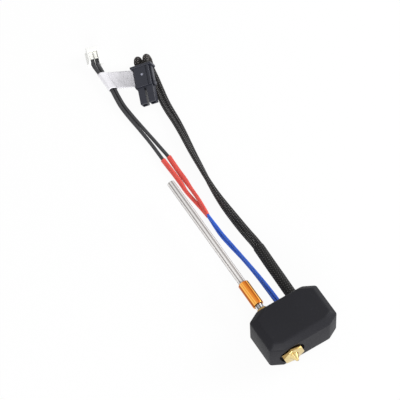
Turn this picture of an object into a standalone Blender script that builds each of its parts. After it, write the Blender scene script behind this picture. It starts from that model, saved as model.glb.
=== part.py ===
"""A printer hotend that lies on the back of its silicone sock, with its liner tube, leads and plugs.

Metres, +Z up. The nozzle points along -Y and the liner tube along +Y. The origin is the middle of
the sock's flat back, on the surface that the part lies on.
"""

import math

import bmesh
import bpy
import numpy as np
from mathutils import Matrix, Vector

MM = 0.001
OBJECT_NAME = "hotend_assembly"

# Silicone sock: a box with cut corners, open at its +Y end.
SOCK_WIDTH = 29.3 * MM
SOCK_LENGTH = 19.0 * MM
SOCK_THICKNESS = 16.0 * MM
SOCK_CORNER_X = 4.7 * MM
SOCK_CORNER_Y = 2.5 * MM
SOCK_CHAMFER = 2.3 * MM
SOCK_RIM_CHAMFER = 1.2 * MM
SOCK_EDGE_ROUND = 0.5 * MM
SOCK_SIDE_WALL = 1.5 * MM
SOCK_FACE_WALL = 1.9 * MM
SOCK_MOUTH_DEPTH = 2.6 * MM
NOZZLE_HOLE_GAP = 0.4812 * MM
SOCK_FIT = 0.3 * MM

# Heater block, and where the three axes in it stand across the sock.
NOZZLE_X = -6.3 * MM
SENSOR_X = 0.5 * MM
HEATER_X = 6.5 * MM
BLOCK_EDGE = 0.4 * MM

# Nozzle.
THREAD_DIAMETER = 6.0 * MM
HEX_ACROSS_FLATS = 8.0 * MM
HEX_TURN = math.radians(-15)
HEX_PROUD = 1.15 * MM
HEX_CHAMFER = 0.5 * MM
NOZZLE_CONE_DIAMETER = 3.6 * MM
NOZZLE_TIP_DIAMETER = 0.9 * MM
NOZZLE_TIP_LENGTH = 2.4 * MM
NOZZLE_SHANK = 7.6 * MM
FILAMENT_BORE = 2.1 * MM
ORIFICE_DIAMETER = 0.4 * MM
ORIFICE_LENGTH = 0.6 * MM

# Heat break: a brass screw-in end, a thin steel neck and a copper sleeve.
COLLAR_WALL = 0.4 * MM
COLLAR_RISE = 2.6 * MM
NECK_DIAMETER = 3.1 * MM
NECK_SHOWN = 1.8 * MM
NECK_SEAT = 2.8 * MM
NECK_IN_SLEEVE = 2.0 * MM
SLEEVE_WALL = 0.55 * MM
SLEEVE_LENGTH = 10.9 * MM
SLEEVE_CHAMFER = 0.4 * MM

# Liner tube.
LINER_DIAMETER = 3.0 * MM
LINER_BORE = 2.0 * MM
LINER_SHOWN = 52.4 * MM

# Cartridges, the block's floor under each, and the set screws that hold them.
HEATER_DIAMETER = 6.0 * MM
HEATER_FLOOR = 2.1 * MM
SENSOR_DIAMETER = 3.0 * MM
SENSOR_FLOOR = 3.6 * MM
CARTRIDGE_RISE = 0.8 * MM
SET_SCREW_DIAMETER = 2.9 * MM
SET_SCREW_Y = 0.5 * MM
SET_SCREW_SUNK = 0.3 * MM
SET_SCREW_SOCKET = 1.5 * MM
SET_SCREW_SOCKET_DEPTH = 1.2 * MM

# Clearances: SEAT is the gap between two faces that meet, SLIP the gap round a piece in its hole.
SEAT = 0.3 * MM
SLIP = 0.1 * MM
THREAD_SLIP = 0.15 * MM

# Wires.
LEAD_DIAMETER = 1.9 * MM
BOOT_DIAMETER = 4.1 * MM
BLUE_DIAMETER = 1.05 * MM
RED_DIAMETER = 2.0 * MM
WIRE_DIAMETER = 1.45 * MM
POINT_STEP = 0.9
PAIR_GAP = 0.1 * MM

# Black two-way plug. Its own frame has the wires at +Y and the mating end at -Y.
LEAD_SLIP = 0.025 * MM
PLUG_SIDE_WALL = 0.4 * MM
PLUG_ROOF = 0.7 * MM
PLUG_SLIT = 1.0 * MM
PLUG_BARREL_LENGTH = 7.1 * MM
PLUG_SHOULDER = 0.7 * MM
PLUG_BODY_LENGTH = 8.3 * MM
PLUG_FLANGE_LIP = 0.5 * MM
PLUG_FLANGE_RISE = 0.3 * MM
PLUG_FLANGE_LENGTH = 1.0 * MM
PLUG_GROOVE_WIDTH = 0.6 * MM
PLUG_GROOVE_DEPTH = 0.35 * MM
PLUG_GROOVE_X = 1.75 * MM
PLUG_BUMP = Vector((1.3, 1.0, 0.45)) * MM
PLUG_BUMP_X = -0.05 * MM
PLUG_BUMP_FROM_FLANGE = 3.36 * MM
PLUG_EDGE = 0.15 * MM
WING_GAP = 0.3 * MM
WING_THICKNESS = 0.45 * MM
WING_HEIGHT = 2.6 * MM
WING_HOOK = 0.4 * MM
WING_HOOK_LENGTH = 1.3 * MM
PLUG_PLACE = Vector((12.79, 131.07, 6.19)) * MM
PLUG_TURN = (math.radians(12.7), math.radians(-20.1), math.radians(-25.1))
LEAD_IN_PLUG = 1.2 * MM
LEAD_LOOP_RADIUS = 2.8 * MM
LEAD_LOOP_STRAIGHT = 1.5 * MM
LEAD_LOOP_ANGLES = (-50, -20, 10, 40, 70, 90)
LEAD_LOOP_SWELL = 1.25
PLUG_TERMINAL_LENGTH = 9.0 * MM

# White two-way plug. Its own frame has the wires at -Y and the mating end at +Y.
WIRE_SLIP = 0.075 * MM
HOUSING_DIVIDER = 0.2 * MM
HOUSING_SIDE_WALL = 0.8 * MM
HOUSING_ROOF = 1.55 * MM
HOUSING_LENGTH = 6.8 * MM
HOUSING_RIB = Vector((0.6, 6.0, 2.0)) * MM
HOUSING_SLOT_LENGTH = 5.4 * MM
HOUSING_SLOT_RISE = 0.4 * MM
HOUSING_EDGE = 0.2 * MM
HOUSING_PLACE = Vector((-1.25, 144.75)) * MM
HOUSING_TURN = (0.0, 0.0, math.radians(-18))
WIRE_IN_HOUSING = 1.6 * MM
WIRE_STRAIGHT = 0.8 * MM
HOUSING_TERMINAL_LENGTH = 4.2 * MM

TERMINAL_SLIP = 0.2 * MM
TERMINAL_PIN_HOLE = 0.8 * MM
TERMINAL_PIN_DEPTH = 3.0 * MM

# Flag label round the two sensor wires, with its middle a little before one of their route's points.
LABEL_LENGTH = 9.0 * MM
LABEL_THICKNESS = 0.25 * MM
LABEL_SLIP = 0.2 * MM
LABEL_TAIL = 10.5 * MM
LABEL_DROOP = 0.75 * MM
LABEL_SKEW = 0.45
LABEL_POINT = -3
LABEL_BEFORE_POINT = 1.8 * MM

# Routes of the free wires, in millimetres. A pair's point is x, y, z, the gap between the two wires,
# and the turn of the line between them in degrees from level. The boot and the blue leads start at
# their cartridges, and run straight until they are this far out of the sock.
LEAD_STRAIGHT = 3.5 * MM
BOOT_ROUTE = [
    (6.8, 20.0, 7.5),
    (7.3, 28.0, 6.2),
    (7.9, 35.7, 4.8),
]
LEAD_PAIR_ROUTE = [
    (8.0, 36.1, 4.7, 0.1, -155),
    (8.1, 40.0, 3.9, 0.1, -155),
    (8.0, 44.0, 3.1, 0.1, -152),
    (7.9, 49.0, 2.3, 0.1, -145),
    (7.8, 54.0, 1.9, 0.1, -135),
    (7.6, 60.0, 1.9, 0.1, -118),
    (7.6, 65.0, 2.0, 0.1, -102),
    (7.8, 69.2, 2.0, 0.1, -90),
    (8.3, 75.0, 2.0, 0.1, -76),
    (9.0, 81.0, 1.9, 0.1, -65),
    (9.7, 87.0, 1.8, 0.1, -55),
    (10.5, 92.5, 1.7, 0.1, -46),
    (11.4, 98.5, 1.6, 0.1, -36),
    (12.1, 104.5, 1.4, 0.1, -24),
    (12.5, 110.0, 1.2, 0.1, -12),
    (13.1, 115.0, 1.1, 0.1, -5),
    (14.1, 120.2, 1.05, 0.1, 0),
    (15.2, 126.0, 1.1, 0.2, 0),
    (15.9, 131.0, 1.2, 0.5, 4),
]
BLUE_PAIR_ROUTE = [
    (0.6, 19.4, 7.2, 0.1, 48),
    (0.7, 26.8, 5.8, 0.1, 66),
    (0.6, 35.6, 4.0, 0.1, 70),
    (0.2, 44.1, 2.4, 0.1, 50),
    (-0.1, 50.0, 1.6, 0.1, 46),
    (-0.1, 54.5, 1.4, 0.2, 66),
    (-0.1, 58.2, 1.55, 0.45, 88),
    (-0.1, 60.8, 1.68, 0.6, 95),
]
BLUE_TURN = 30
# The red sleeves are drawn in on the blue leads: the fourth value is the share of the full diameter.
RED_UPPER_ROUTE = [
    (-0.15, 61.2, 2.5, 0.77),
    (0.1, 63.5, 2.5, 0.77),
    (0.6, 68.8, 2.0, 0.77),
    (0.8, 74.6, 1.5, 0.8),
    (1.0, 79.0, 1.15, 1.0),
    (1.0, 83.8, 1.05, 1.0),
    (1.05, 88.0, 1.05, 1.0),
    (1.15, 90.8, 1.05, 1.0),
]
RED_LOWER_ROUTE = [
    (-0.05, 61.2, 0.85, 0.77),
    (-0.25, 63.8, 0.85, 0.77),
    (-0.8, 69.1, 0.85, 0.77),
    (-1.3, 74.4, 0.9, 0.8),
    (-1.12, 79.0, 1.05, 1.0),
    (-1.17, 83.4, 1.05, 1.0),
    (-1.35, 88.0, 1.05, 1.0),
    (-1.45, 90.8, 1.05, 1.0),
]
WIRE_PAIR_ROUTE = [
    (-0.15, 91.2, 1.0, 1.15, 0),
    (-0.35, 96.0, 0.85, 0.75, 0),
    (-0.6, 101.0, 0.8, 0.4, 0),
    (-1.2, 108.8, 0.8, 0.1, 0),
    (-1.85, 116.5, 0.9, 0.1, -6),
    (-2.1, 122.2, 1.1, 0.1, -14),
    (-1.75, 127.0, 1.4, 0.1, -20),
    (-1.4, 130.0, 1.5, 0.1, -20),
    (-1.35, 133.0, 1.5, 0.1, -20),
    (-1.35, 137.0, 1.5, 0.1, -20),
    (-1.38, 140.0, 1.55, 0.15, -18),
    (-1.42, 142.3, 2.0, 0.3, -8),
]

ROUND_STEPS = 32
SMALL_STEPS = 20

AXIS_Z = SOCK_THICKNESS / 2
RIM_Y = SOCK_LENGTH / 2
BLOCK_TOP_Y = RIM_Y - SOCK_MOUTH_DEPTH
BLOCK_BOTTOM_Y = -RIM_Y + SOCK_SIDE_WALL + SOCK_FIT
CARTRIDGE_TOP_Y = BLOCK_TOP_Y + CARTRIDGE_RISE
HEX_FACE_Y = -RIM_Y - HEX_PROUD
HEX_SEAT_Y = BLOCK_BOTTOM_Y - SEAT
TIP_Y = HEX_FACE_Y - NOZZLE_TIP_LENGTH
SHANK_TOP_Y = HEX_SEAT_Y + NOZZLE_SHANK
COLLAR_TOP_Y = RIM_Y + COLLAR_RISE
SLEEVE_BOTTOM_Y = COLLAR_TOP_Y + NECK_SHOWN
SLEEVE_TOP_Y = SLEEVE_BOTTOM_Y + SLEEVE_LENGTH
NECK_TOP_Y = SLEEVE_BOTTOM_Y + NECK_IN_SLEEVE
COLLAR_DIAMETER = NECK_DIAMETER + 2 * (SLIP + COLLAR_WALL)
SLEEVE_BORE = max(NECK_DIAMETER, LINER_DIAMETER) + 2 * SLIP
SLEEVE_DIAMETER = SLEEVE_BORE + 2 * SLEEVE_WALL
HEX_CORNER = HEX_ACROSS_FLATS / math.sqrt(3)

# The black plug's cavities fit its leads, its barrels the cavities, and so on out to the flange.
PLUG_CAVITY = LEAD_DIAMETER + 2 * LEAD_SLIP
PLUG_BARREL_WIDTH = PLUG_CAVITY + 2 * PLUG_SIDE_WALL
PLUG_PITCH = PLUG_BARREL_WIDTH + PLUG_SLIT
PLUG_HALF_WIDTH = (PLUG_PITCH + PLUG_BARREL_WIDTH) / 2
PLUG_BARREL_HEIGHT = PLUG_CAVITY + 2 * PLUG_ROOF
PLUG_BODY_HEIGHT = PLUG_BARREL_HEIGHT + 2 * PLUG_SHOULDER
PLUG_FLANGE_HEIGHT = PLUG_BODY_HEIGHT + 2 * PLUG_FLANGE_RISE
PLUG_FLANGE_WIDTH = 2 * (PLUG_HALF_WIDTH + WING_GAP + WING_THICKNESS + PLUG_FLANGE_LIP)

# The white plug's cavities fit its wires in the same way.
HOUSING_CAVITY = WIRE_DIAMETER + 2 * WIRE_SLIP
HOUSING_PITCH = HOUSING_CAVITY + HOUSING_DIVIDER
HOUSING_SLOT_WIDTH = HOUSING_PITCH + HOUSING_CAVITY
HOUSING_HEIGHT = HOUSING_CAVITY + 2 * HOUSING_ROOF


def start_scene():
    """Clears the file and makes the two collections."""
    for old in list(bpy.data.objects):
        bpy.data.objects.remove(old, do_unlink=True)
    made = {}
    for name in (OBJECT_NAME, "cutters"):
        made[name] = bpy.data.collections.new(name)
        bpy.context.scene.collection.children.link(made[name])
    return made[OBJECT_NAME], made["cutters"]


PARTS, CUTTERS = start_scene()


def material(name, colour, roughness, metallic=0.0, alpha=1.0):
    """A Principled material with the colour that the piece has."""
    made = bpy.data.materials.new(name)
    made.use_nodes = True
    shader = made.node_tree.nodes["Principled BSDF"]
    shader.inputs["Base Color"].default_value = (*colour, 1.0)
    shader.inputs["Roughness"].default_value = roughness
    shader.inputs["Metallic"].default_value = metallic
    shader.inputs["Alpha"].default_value = alpha
    return made


def part(obj, name, look):
    """Makes an object a named piece of the assembly with its own material."""
    obj.name = name
    obj.data.name = name
    obj.data.materials.clear()
    obj.data.materials.append(look)
    PARTS.objects.link(obj)
    return obj


def tool(obj, name):
    """Makes an object a cutter, or a lump that is joined to a piece."""
    obj.name = name
    obj.hide_render = True
    obj.display_type = "WIRE"
    CUTTERS.objects.link(obj)
    return obj


def combine(obj, other, operation):
    """Cuts, joins or intersects a piece with another shape."""
    boolean = obj.modifiers.new(other.name, "BOOLEAN")
    boolean.operation = operation
    boolean.solver = "EXACT"
    boolean.object = other
    return obj


def cut(obj, *others):
    for other in others:
        combine(obj, other, "DIFFERENCE")
    return obj


def join(obj, *others):
    for other in others:
        combine(obj, other, "UNION")
    return obj


def bevel(obj, width, segments=1, limit=math.radians(20)):
    """Breaks a piece's sharp edges."""
    rounding = obj.modifiers.new("edge", "BEVEL")
    rounding.width = width
    rounding.segments = segments
    rounding.limit_method = "ANGLE"
    rounding.angle_limit = limit
    return obj


def smooth_shaded(obj, angle=math.radians(35)):
    obj.data.shade_smooth()
    obj.data.set_sharp_from_angle(angle=angle)
    return obj


def mesh_object(bm):
    mesh = bpy.data.meshes.new("shape")
    bm.to_mesh(mesh)
    bm.free()
    return bpy.data.objects.new("shape", mesh)


def box(size, centre=(0, 0, 0)):
    """A box of a full size about its centre."""
    bm = bmesh.new()
    bmesh.ops.create_cube(bm, size=1.0)
    bmesh.ops.scale(bm, vec=Vector(size), verts=bm.verts)
    bmesh.ops.translate(bm, vec=Vector(centre), verts=bm.verts)
    return mesh_object(bm)


def span(low, high):
    """A box from its low corner to its high corner."""
    low, high = Vector(low), Vector(high)
    return box(high - low, (low + high) / 2)


def prism(radius, length, sides, turn=0.0):
    """A round or many-sided bar along its own Z, from 0 up to its length."""
    bm = bmesh.new()
    bmesh.ops.create_cone(
        bm, cap_ends=True, segments=sides, radius1=radius, radius2=radius, depth=length
    )
    bmesh.ops.translate(bm, vec=(0, 0, length / 2), verts=bm.verts)
    bmesh.ops.rotate(bm, matrix=Matrix.Rotation(turn, 3, "Z"), verts=bm.verts)
    return mesh_object(bm)


def turned(profile, closed, steps=ROUND_STEPS):
    """A turned shape about its own Z, from radius and height pairs that run down its outer side.

    A closed profile runs back up the bore. An open one starts and ends on the axis.
    """
    bm = bmesh.new()
    verts = [bm.verts.new((radius, 0, height)) for radius, height in profile]
    for low, high in zip(verts, verts[1:]):
        bm.edges.new((low, high))
    if closed:
        bm.edges.new((verts[-1], verts[0]))
    obj = mesh_object(bm)
    screw = obj.modifiers.new("turn", "SCREW")
    screw.axis = "Z"
    screw.angle = 2 * math.pi
    screw.steps = steps
    screw.render_steps = steps
    screw.use_merge_vertices = True
    screw.merge_threshold = 1e-6
    return obj


def along_y(obj, x, y=0.0, z=AXIS_Z):
    """Lays a shape's own Z along +Y."""
    obj.location = (x, y, z)
    obj.rotation_euler = (-math.pi / 2, 0, 0)
    return obj


def outline(points, thickness, holes=()):
    """A flat outline in its own XY plane with a thickness about z = 0, as a mesh."""
    curve = bpy.data.curves.new("outline", "CURVE")
    curve.dimensions = "2D"
    curve.fill_mode = "BOTH"
    curve.extrude = thickness / 2
    for loop in (points, *holes):
        spline = curve.splines.new("POLY")
        spline.points.add(len(loop) - 1)
        for point, (x, y) in zip(spline.points, loop):
            point.co = (x, y, 0, 1)
        spline.use_cyclic_u = True
    drawn = bpy.data.objects.new("outline", curve)
    bpy.context.scene.collection.objects.link(drawn)
    graph = bpy.context.evaluated_depsgraph_get()
    mesh = bpy.data.meshes.new_from_object(drawn.evaluated_get(graph))
    bpy.data.objects.remove(drawn, do_unlink=True)
    bm = bmesh.new()
    bm.from_mesh(mesh)
    bmesh.ops.remove_doubles(bm, verts=bm.verts, dist=1e-6)
    if not holes:
        flat = math.radians(1)
        bmesh.ops.dissolve_limit(bm, angle_limit=flat, verts=bm.verts, edges=bm.edges)
    bmesh.ops.recalc_face_normals(bm, faces=bm.faces)
    return mesh_object(bm)


def smooth_route(points, step):
    """Points about a step apart on a smooth curve through a route's own points."""
    route = np.array(points, float)
    before = 2 * route[0] - route[1]
    after = 2 * route[-1] - route[-2]
    route = np.vstack([before, route, after])
    fine = []
    for p0, p1, p2, p3 in zip(route, route[1:], route[2:], route[3:]):
        for t in np.linspace(0, 1, 16, endpoint=False):
            fine.append(
                0.5
                * (
                    2 * p1
                    + (p2 - p0) * t
                    + (2 * p0 - 5 * p1 + 4 * p2 - p3) * t**2
                    + (3 * p1 - p0 - 3 * p2 + p3) * t**3
                )
            )
    fine = np.array([*fine, route[-2]])
    steps = np.linalg.norm(np.diff(fine[:, :3], axis=0), axis=1)
    along = np.concatenate([[0], np.cumsum(steps)])
    count = max(2, math.ceil(along[-1] / step) + 1)
    at = np.linspace(0, along[-1], count)
    return np.stack([np.interp(at, along, values) for values in fine.T], axis=1)


def wire(name, route, diameter, look):
    """A wire along a route in metres. A point's fourth value is its share of the diameter."""
    points = smooth_route(route, POINT_STEP * diameter)
    curve = bpy.data.curves.new(name, "CURVE")
    curve.dimensions = "3D"
    curve.bevel_depth = diameter / 2
    curve.bevel_resolution = 2
    curve.use_fill_caps = True
    spline = curve.splines.new("POLY")
    spline.points.add(len(points) - 1)
    for place, point in zip(spline.points, points):
        place.co = (*point[:3], 1)
        place.radius = point[3] if len(point) > 3 else 1.0
    return part(bpy.data.objects.new(name, curve), name, look)


def side_of_pair(route, side, diameter):
    """One wire's own points, in metres, from the route of a pair in millimetres."""
    points = []
    for x, y, z, gap, turn in route:
        reach = side * (diameter + gap * MM) / 2
        angle = math.radians(turn)
        across = Vector((math.cos(angle), 0, math.sin(angle)))
        points.append(Vector((x, y, z)) * MM + reach * across)
    return points


def start_of_lead(x):
    """Two points, in metres, of a lead that leaves a cartridge straight out of the sock."""
    return [Vector((x, y, AXIS_Z)) for y in (CARTRIDGE_TOP_Y + SEAT, RIM_Y + LEAD_STRAIGHT)]


def frame_matrix(place, turn):
    """The matrix of a plug's own frame."""
    x, y, z = turn
    rotation = Matrix.Rotation(z, 4, "Z") @ Matrix.Rotation(y, 4, "Y") @ Matrix.Rotation(x, 4, "X")
    return Matrix.Translation(place) @ rotation


def frame_empty(name, matrix):
    empty = bpy.data.objects.new(name, None)
    empty.matrix_world = matrix
    PARTS.objects.link(empty)
    return empty


def inset_outline(inset, top_y):
    """The sock's plan drawn in by an inset, with its +Y side cut square at top_y."""
    half_x, half_y = SOCK_WIDTH / 2, SOCK_LENGTH / 2
    corner = Vector((SOCK_CORNER_Y, SOCK_CORNER_X)).normalized()
    reach = corner.dot(Vector((half_x, half_y - SOCK_CORNER_Y))) - inset
    side_x, low_y = half_x - inset, half_y - inset
    corner_y = (reach - corner.x * side_x) / corner.y
    low_x = (reach - corner.y * low_y) / corner.x
    top_x = (reach - corner.y * min(top_y, half_y)) / corner.x
    right = [(low_x, -low_y), (side_x, -corner_y), (side_x, corner_y), (top_x, min(top_y, half_y))]
    if top_y > half_y:
        right.append((top_x, top_y))
    return right + [(-x, y) for x, y in reversed(right)]


def silicone_sock():
    """A moulded cover with cut corners, chamfered edges, a nozzle hole and an open rim."""
    look = material("sock_silicone", (0.035, 0.035, 0.038), 0.75)
    half_x, half_y = SOCK_WIDTH / 2, SOCK_LENGTH / 2
    plan = [
        (half_x - SOCK_CORNER_X, -half_y),
        (half_x, -half_y + SOCK_CORNER_Y),
        (half_x, half_y - SOCK_CORNER_Y),
        (half_x - SOCK_CORNER_X, half_y),
    ]
    plan += [(-x, y) for x, y in reversed(plan)]
    sock = outline(plan, SOCK_THICKNESS)
    mesh = sock.data
    weights = mesh.attributes.new("bevel_weight_edge", "FLOAT", "EDGE")
    for edge, weight in zip(mesh.edges, weights.data):
        low, high = (mesh.vertices[i].co for i in edge.vertices)
        on_rim = min(low.y, high.y) > half_y - SEAT
        level = abs(low.z - high.z) < SEAT
        weight.value = level * (SOCK_RIM_CHAMFER / SOCK_CHAMFER if on_rim else 1.0)
    chamfer = sock.modifiers.new("chamfer", "BEVEL")
    chamfer.width = SOCK_CHAMFER
    chamfer.segments = 1
    chamfer.limit_method = "WEIGHT"
    bevel(sock, SOCK_EDGE_ROUND, segments=2)
    sock.location.z = AXIS_Z
    part(sock, "silicone_sock", look)
    hollow = outline(
        inset_outline(SOCK_SIDE_WALL, SOCK_LENGTH), SOCK_THICKNESS - 2 * SOCK_FACE_WALL
    )
    hollow.location.z = AXIS_Z
    tool(hollow, "sock_hollow")
    nozzle_hole = prism(HEX_CORNER + NOZZLE_HOLE_GAP, SOCK_LENGTH, ROUND_STEPS)
    tool(along_y(nozzle_hole, NOZZLE_X, -SOCK_LENGTH), "sock_nozzle_hole")
    collar_notch = prism(COLLAR_DIAMETER / 2 + SEAT, SOCK_LENGTH, SMALL_STEPS)
    tool(along_y(collar_notch, NOZZLE_X), "sock_collar_notch")
    boot_notch = prism(BOOT_DIAMETER / 2 + SEAT, SOCK_LENGTH, SMALL_STEPS)
    tool(along_y(boot_notch, HEATER_X), "sock_boot_notch")
    return cut(sock, hollow, nozzle_hole, collar_notch, boot_notch)


def heater_block():
    """The aluminium block with its screw bore, cartridge bores and set-screw holes."""
    look = material("block_aluminium", (0.62, 0.63, 0.65), 0.35, 1.0)
    thickness = SOCK_THICKNESS - 2 * (SOCK_FACE_WALL + SOCK_FIT)
    block = outline(inset_outline(SOCK_SIDE_WALL + SOCK_FIT, BLOCK_TOP_Y), thickness)
    block.location.z = AXIS_Z
    bevel(block, BLOCK_EDGE)
    part(block, "heater_block", look)
    through = prism(THREAD_DIAMETER / 2 + THREAD_SLIP, 2 * SOCK_LENGTH, ROUND_STEPS)
    tool(along_y(through, NOZZLE_X, -SOCK_LENGTH), "block_screw_bore")
    heater_bore = prism(HEATER_DIAMETER / 2 + SLIP, SOCK_LENGTH, ROUND_STEPS)
    tool(along_y(heater_bore, HEATER_X, BLOCK_BOTTOM_Y + HEATER_FLOOR), "block_heater_bore")
    sensor_bore = prism(SENSOR_DIAMETER / 2 + SLIP, SOCK_LENGTH, SMALL_STEPS)
    tool(along_y(sensor_bore, SENSOR_X, BLOCK_BOTTOM_Y + SENSOR_FLOOR), "block_sensor_bore")
    cut(block, through, heater_bore, sensor_bore)
    for name, x in (("heater", HEATER_X), ("sensor", SENSOR_X)):
        hole = prism(SET_SCREW_DIAMETER / 2 + THREAD_SLIP, SOCK_THICKNESS, SMALL_STEPS)
        hole.location = (x, SET_SCREW_Y, AXIS_Z)
        cut(block, tool(hole, f"block_{name}_screw_hole"))
    return block


def set_screw(name, x, held_diameter, look):
    """A headless screw with a hex socket, from the block's upper face down to a cartridge."""
    low_z = AXIS_Z + held_diameter / 2 + SEAT
    high_z = SOCK_THICKNESS - SOCK_FACE_WALL - SOCK_FIT - SET_SCREW_SUNK
    radius, tip = SET_SCREW_DIAMETER / 2, SET_SCREW_DIAMETER / 3
    profile = [
        (0, high_z),
        (radius, high_z),
        (radius, low_z + radius - tip),
        (tip, low_z),
        (0, low_z),
    ]
    screw = turned(profile, closed=False, steps=SMALL_STEPS)
    screw.location = (x, SET_SCREW_Y, 0)
    part(screw, name, look)
    socket = prism(SET_SCREW_SOCKET / math.sqrt(3), SOCK_THICKNESS, 6)
    socket.location = (x, SET_SCREW_Y, high_z - SET_SCREW_SOCKET_DEPTH)
    return cut(screw, tool(socket, f"{name}_socket"))


def cartridge(name, x, diameter, floor, look):
    """A round cartridge that stands a little out of its bore."""
    low, high = BLOCK_BOTTOM_Y + floor + SEAT, CARTRIDGE_TOP_Y
    radius, edge = diameter / 2, SEAT
    profile = [
        (0, high),
        (radius - edge, high),
        (radius, high - edge),
        (radius, low + edge),
        (radius - edge, low),
        (0, low),
    ]
    body = along_y(turned(profile, closed=False), x)
    return smooth_shaded(part(body, name, look))


def nozzle():
    """A brass nozzle: a screw shank, a hex with broken corners and a cone with a fine orifice."""
    look = material("nozzle_brass", (0.78, 0.55, 0.22), 0.28, 1.0)
    hexagon = prism(HEX_CORNER, HEX_SEAT_Y - HEX_FACE_Y, 6, HEX_TURN)
    part(along_y(hexagon, NOZZLE_X, HEX_FACE_Y), "nozzle", look)
    trim = [
        (0, HEX_SEAT_Y + SEAT),
        (HEX_CORNER + SEAT, HEX_SEAT_Y + SEAT),
        (HEX_CORNER + SEAT, HEX_FACE_Y + HEX_CHAMFER + SEAT),
        (HEX_ACROSS_FLATS / 2 - SLIP, HEX_FACE_Y),
        (0, HEX_FACE_Y),
    ]
    trim = tool(along_y(turned(trim, closed=False), NOZZLE_X), "nozzle_hex_trim")
    thread, cone = THREAD_DIAMETER / 2, NOZZLE_CONE_DIAMETER / 2
    flare = (cone - NOZZLE_TIP_DIAMETER / 2) / NOZZLE_TIP_LENGTH
    body = [
        (0, SHANK_TOP_Y),
        (thread - SEAT, SHANK_TOP_Y),
        (thread, SHANK_TOP_Y - SEAT),
        (thread, HEX_SEAT_Y - SEAT),
        (cone + flare * SEAT, HEX_FACE_Y + SEAT),
        (NOZZLE_TIP_DIAMETER / 2, TIP_Y),
        (0, TIP_Y),
    ]
    body = tool(along_y(turned(body, closed=False), NOZZLE_X), "nozzle_body")
    funnel_y = TIP_Y + ORIFICE_LENGTH + (FILAMENT_BORE - ORIFICE_DIAMETER) / 2
    bore = [
        (0, SHANK_TOP_Y + SEAT),
        (FILAMENT_BORE / 2, SHANK_TOP_Y + SEAT),
        (FILAMENT_BORE / 2, funnel_y),
        (ORIFICE_DIAMETER / 2, TIP_Y + ORIFICE_LENGTH),
        (ORIFICE_DIAMETER / 2, TIP_Y - SEAT),
        (0, TIP_Y - SEAT),
    ]
    bore = turned(bore, closed=False, steps=SMALL_STEPS)
    tool(along_y(bore, NOZZLE_X), "nozzle_bore")
    combine(hexagon, trim, "INTERSECT")
    join(hexagon, body)
    return cut(hexagon, bore)


def heat_break():
    """The brass screw-in end, the steel neck and the copper sleeve, one in the next."""
    bore, socket = FILAMENT_BORE / 2, NECK_DIAMETER / 2 + SLIP
    thread, collar = THREAD_DIAMETER / 2, COLLAR_DIAMETER / 2
    low = SHANK_TOP_Y + SEAT
    seat = COLLAR_TOP_Y - NECK_SEAT
    profile = [
        (collar - SEAT, COLLAR_TOP_Y),
        (collar, COLLAR_TOP_Y - SEAT),
        (collar, BLOCK_TOP_Y),
        (thread, BLOCK_TOP_Y - SEAT),
        (thread, low),
        (bore, low),
        (bore, seat),
        (socket, seat),
        (socket, COLLAR_TOP_Y),
    ]
    brass = material("heatbreak_brass", (0.74, 0.52, 0.20), 0.35, 1.0)
    end = along_y(turned(profile, closed=True), NOZZLE_X)
    smooth_shaded(part(end, "heatbreak_screw_end", brass))
    neck_low = seat + SEAT
    neck = NECK_DIAMETER / 2
    profile = [(neck, NECK_TOP_Y), (neck, neck_low), (bore, neck_low), (bore, NECK_TOP_Y)]
    steel = material("neck_steel", (0.66, 0.66, 0.66), 0.25, 1.0)
    tube = along_y(turned(profile, closed=True), NOZZLE_X)
    smooth_shaded(part(tube, "heatbreak_neck", steel))
    outer, inner, edge = SLEEVE_DIAMETER / 2, SLEEVE_BORE / 2, SLEEVE_CHAMFER
    profile = [
        (outer - edge, SLEEVE_TOP_Y),
        (outer, SLEEVE_TOP_Y - edge),
        (outer, SLEEVE_BOTTOM_Y + edge),
        (outer - edge, SLEEVE_BOTTOM_Y),
        (inner, SLEEVE_BOTTOM_Y),
        (inner, SLEEVE_TOP_Y),
    ]
    copper = material("sleeve_copper", (0.80, 0.38, 0.16), 0.25, 1.0)
    sleeve = along_y(turned(profile, closed=True), NOZZLE_X)
    return smooth_shaded(part(sleeve, "heatbreak_sleeve", copper))


def liner_tube():
    """The translucent tube that slides in the sleeve down to the neck."""
    look = material("liner_polymer", (0.85, 0.84, 0.82), 0.3, alpha=0.8)
    low, high = NECK_TOP_Y + SEAT, SLEEVE_TOP_Y + LINER_SHOWN
    outer, inner = LINER_DIAMETER / 2, LINER_BORE / 2
    profile = [(outer, high - low), (outer, 0), (inner, 0), (inner, high - low)]
    tube = along_y(turned(profile, closed=True), NOZZLE_X, low)
    return smooth_shaded(part(tube, "liner_tube", look))


def terminal(name, empty, x, low_y, length, size, pin_end, look):
    """A square metal terminal in a plug's cavity, with a hole for its pin at the mating end."""
    high_y = low_y + length
    body = part(span((x - size / 2, low_y, -size / 2), (x + size / 2, high_y, size / 2)), name, look)
    body.parent = empty
    mouth = high_y if pin_end > 0 else low_y
    half = TERMINAL_PIN_HOLE / 2
    deep = mouth - pin_end * TERMINAL_PIN_DEPTH
    past = mouth + pin_end * SEAT
    hole = span((x - half, min(deep, past), -half), (x + half, max(deep, past), half))
    tool(hole, f"{name}_pin_hole").parent = empty
    return cut(body, hole)


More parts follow.
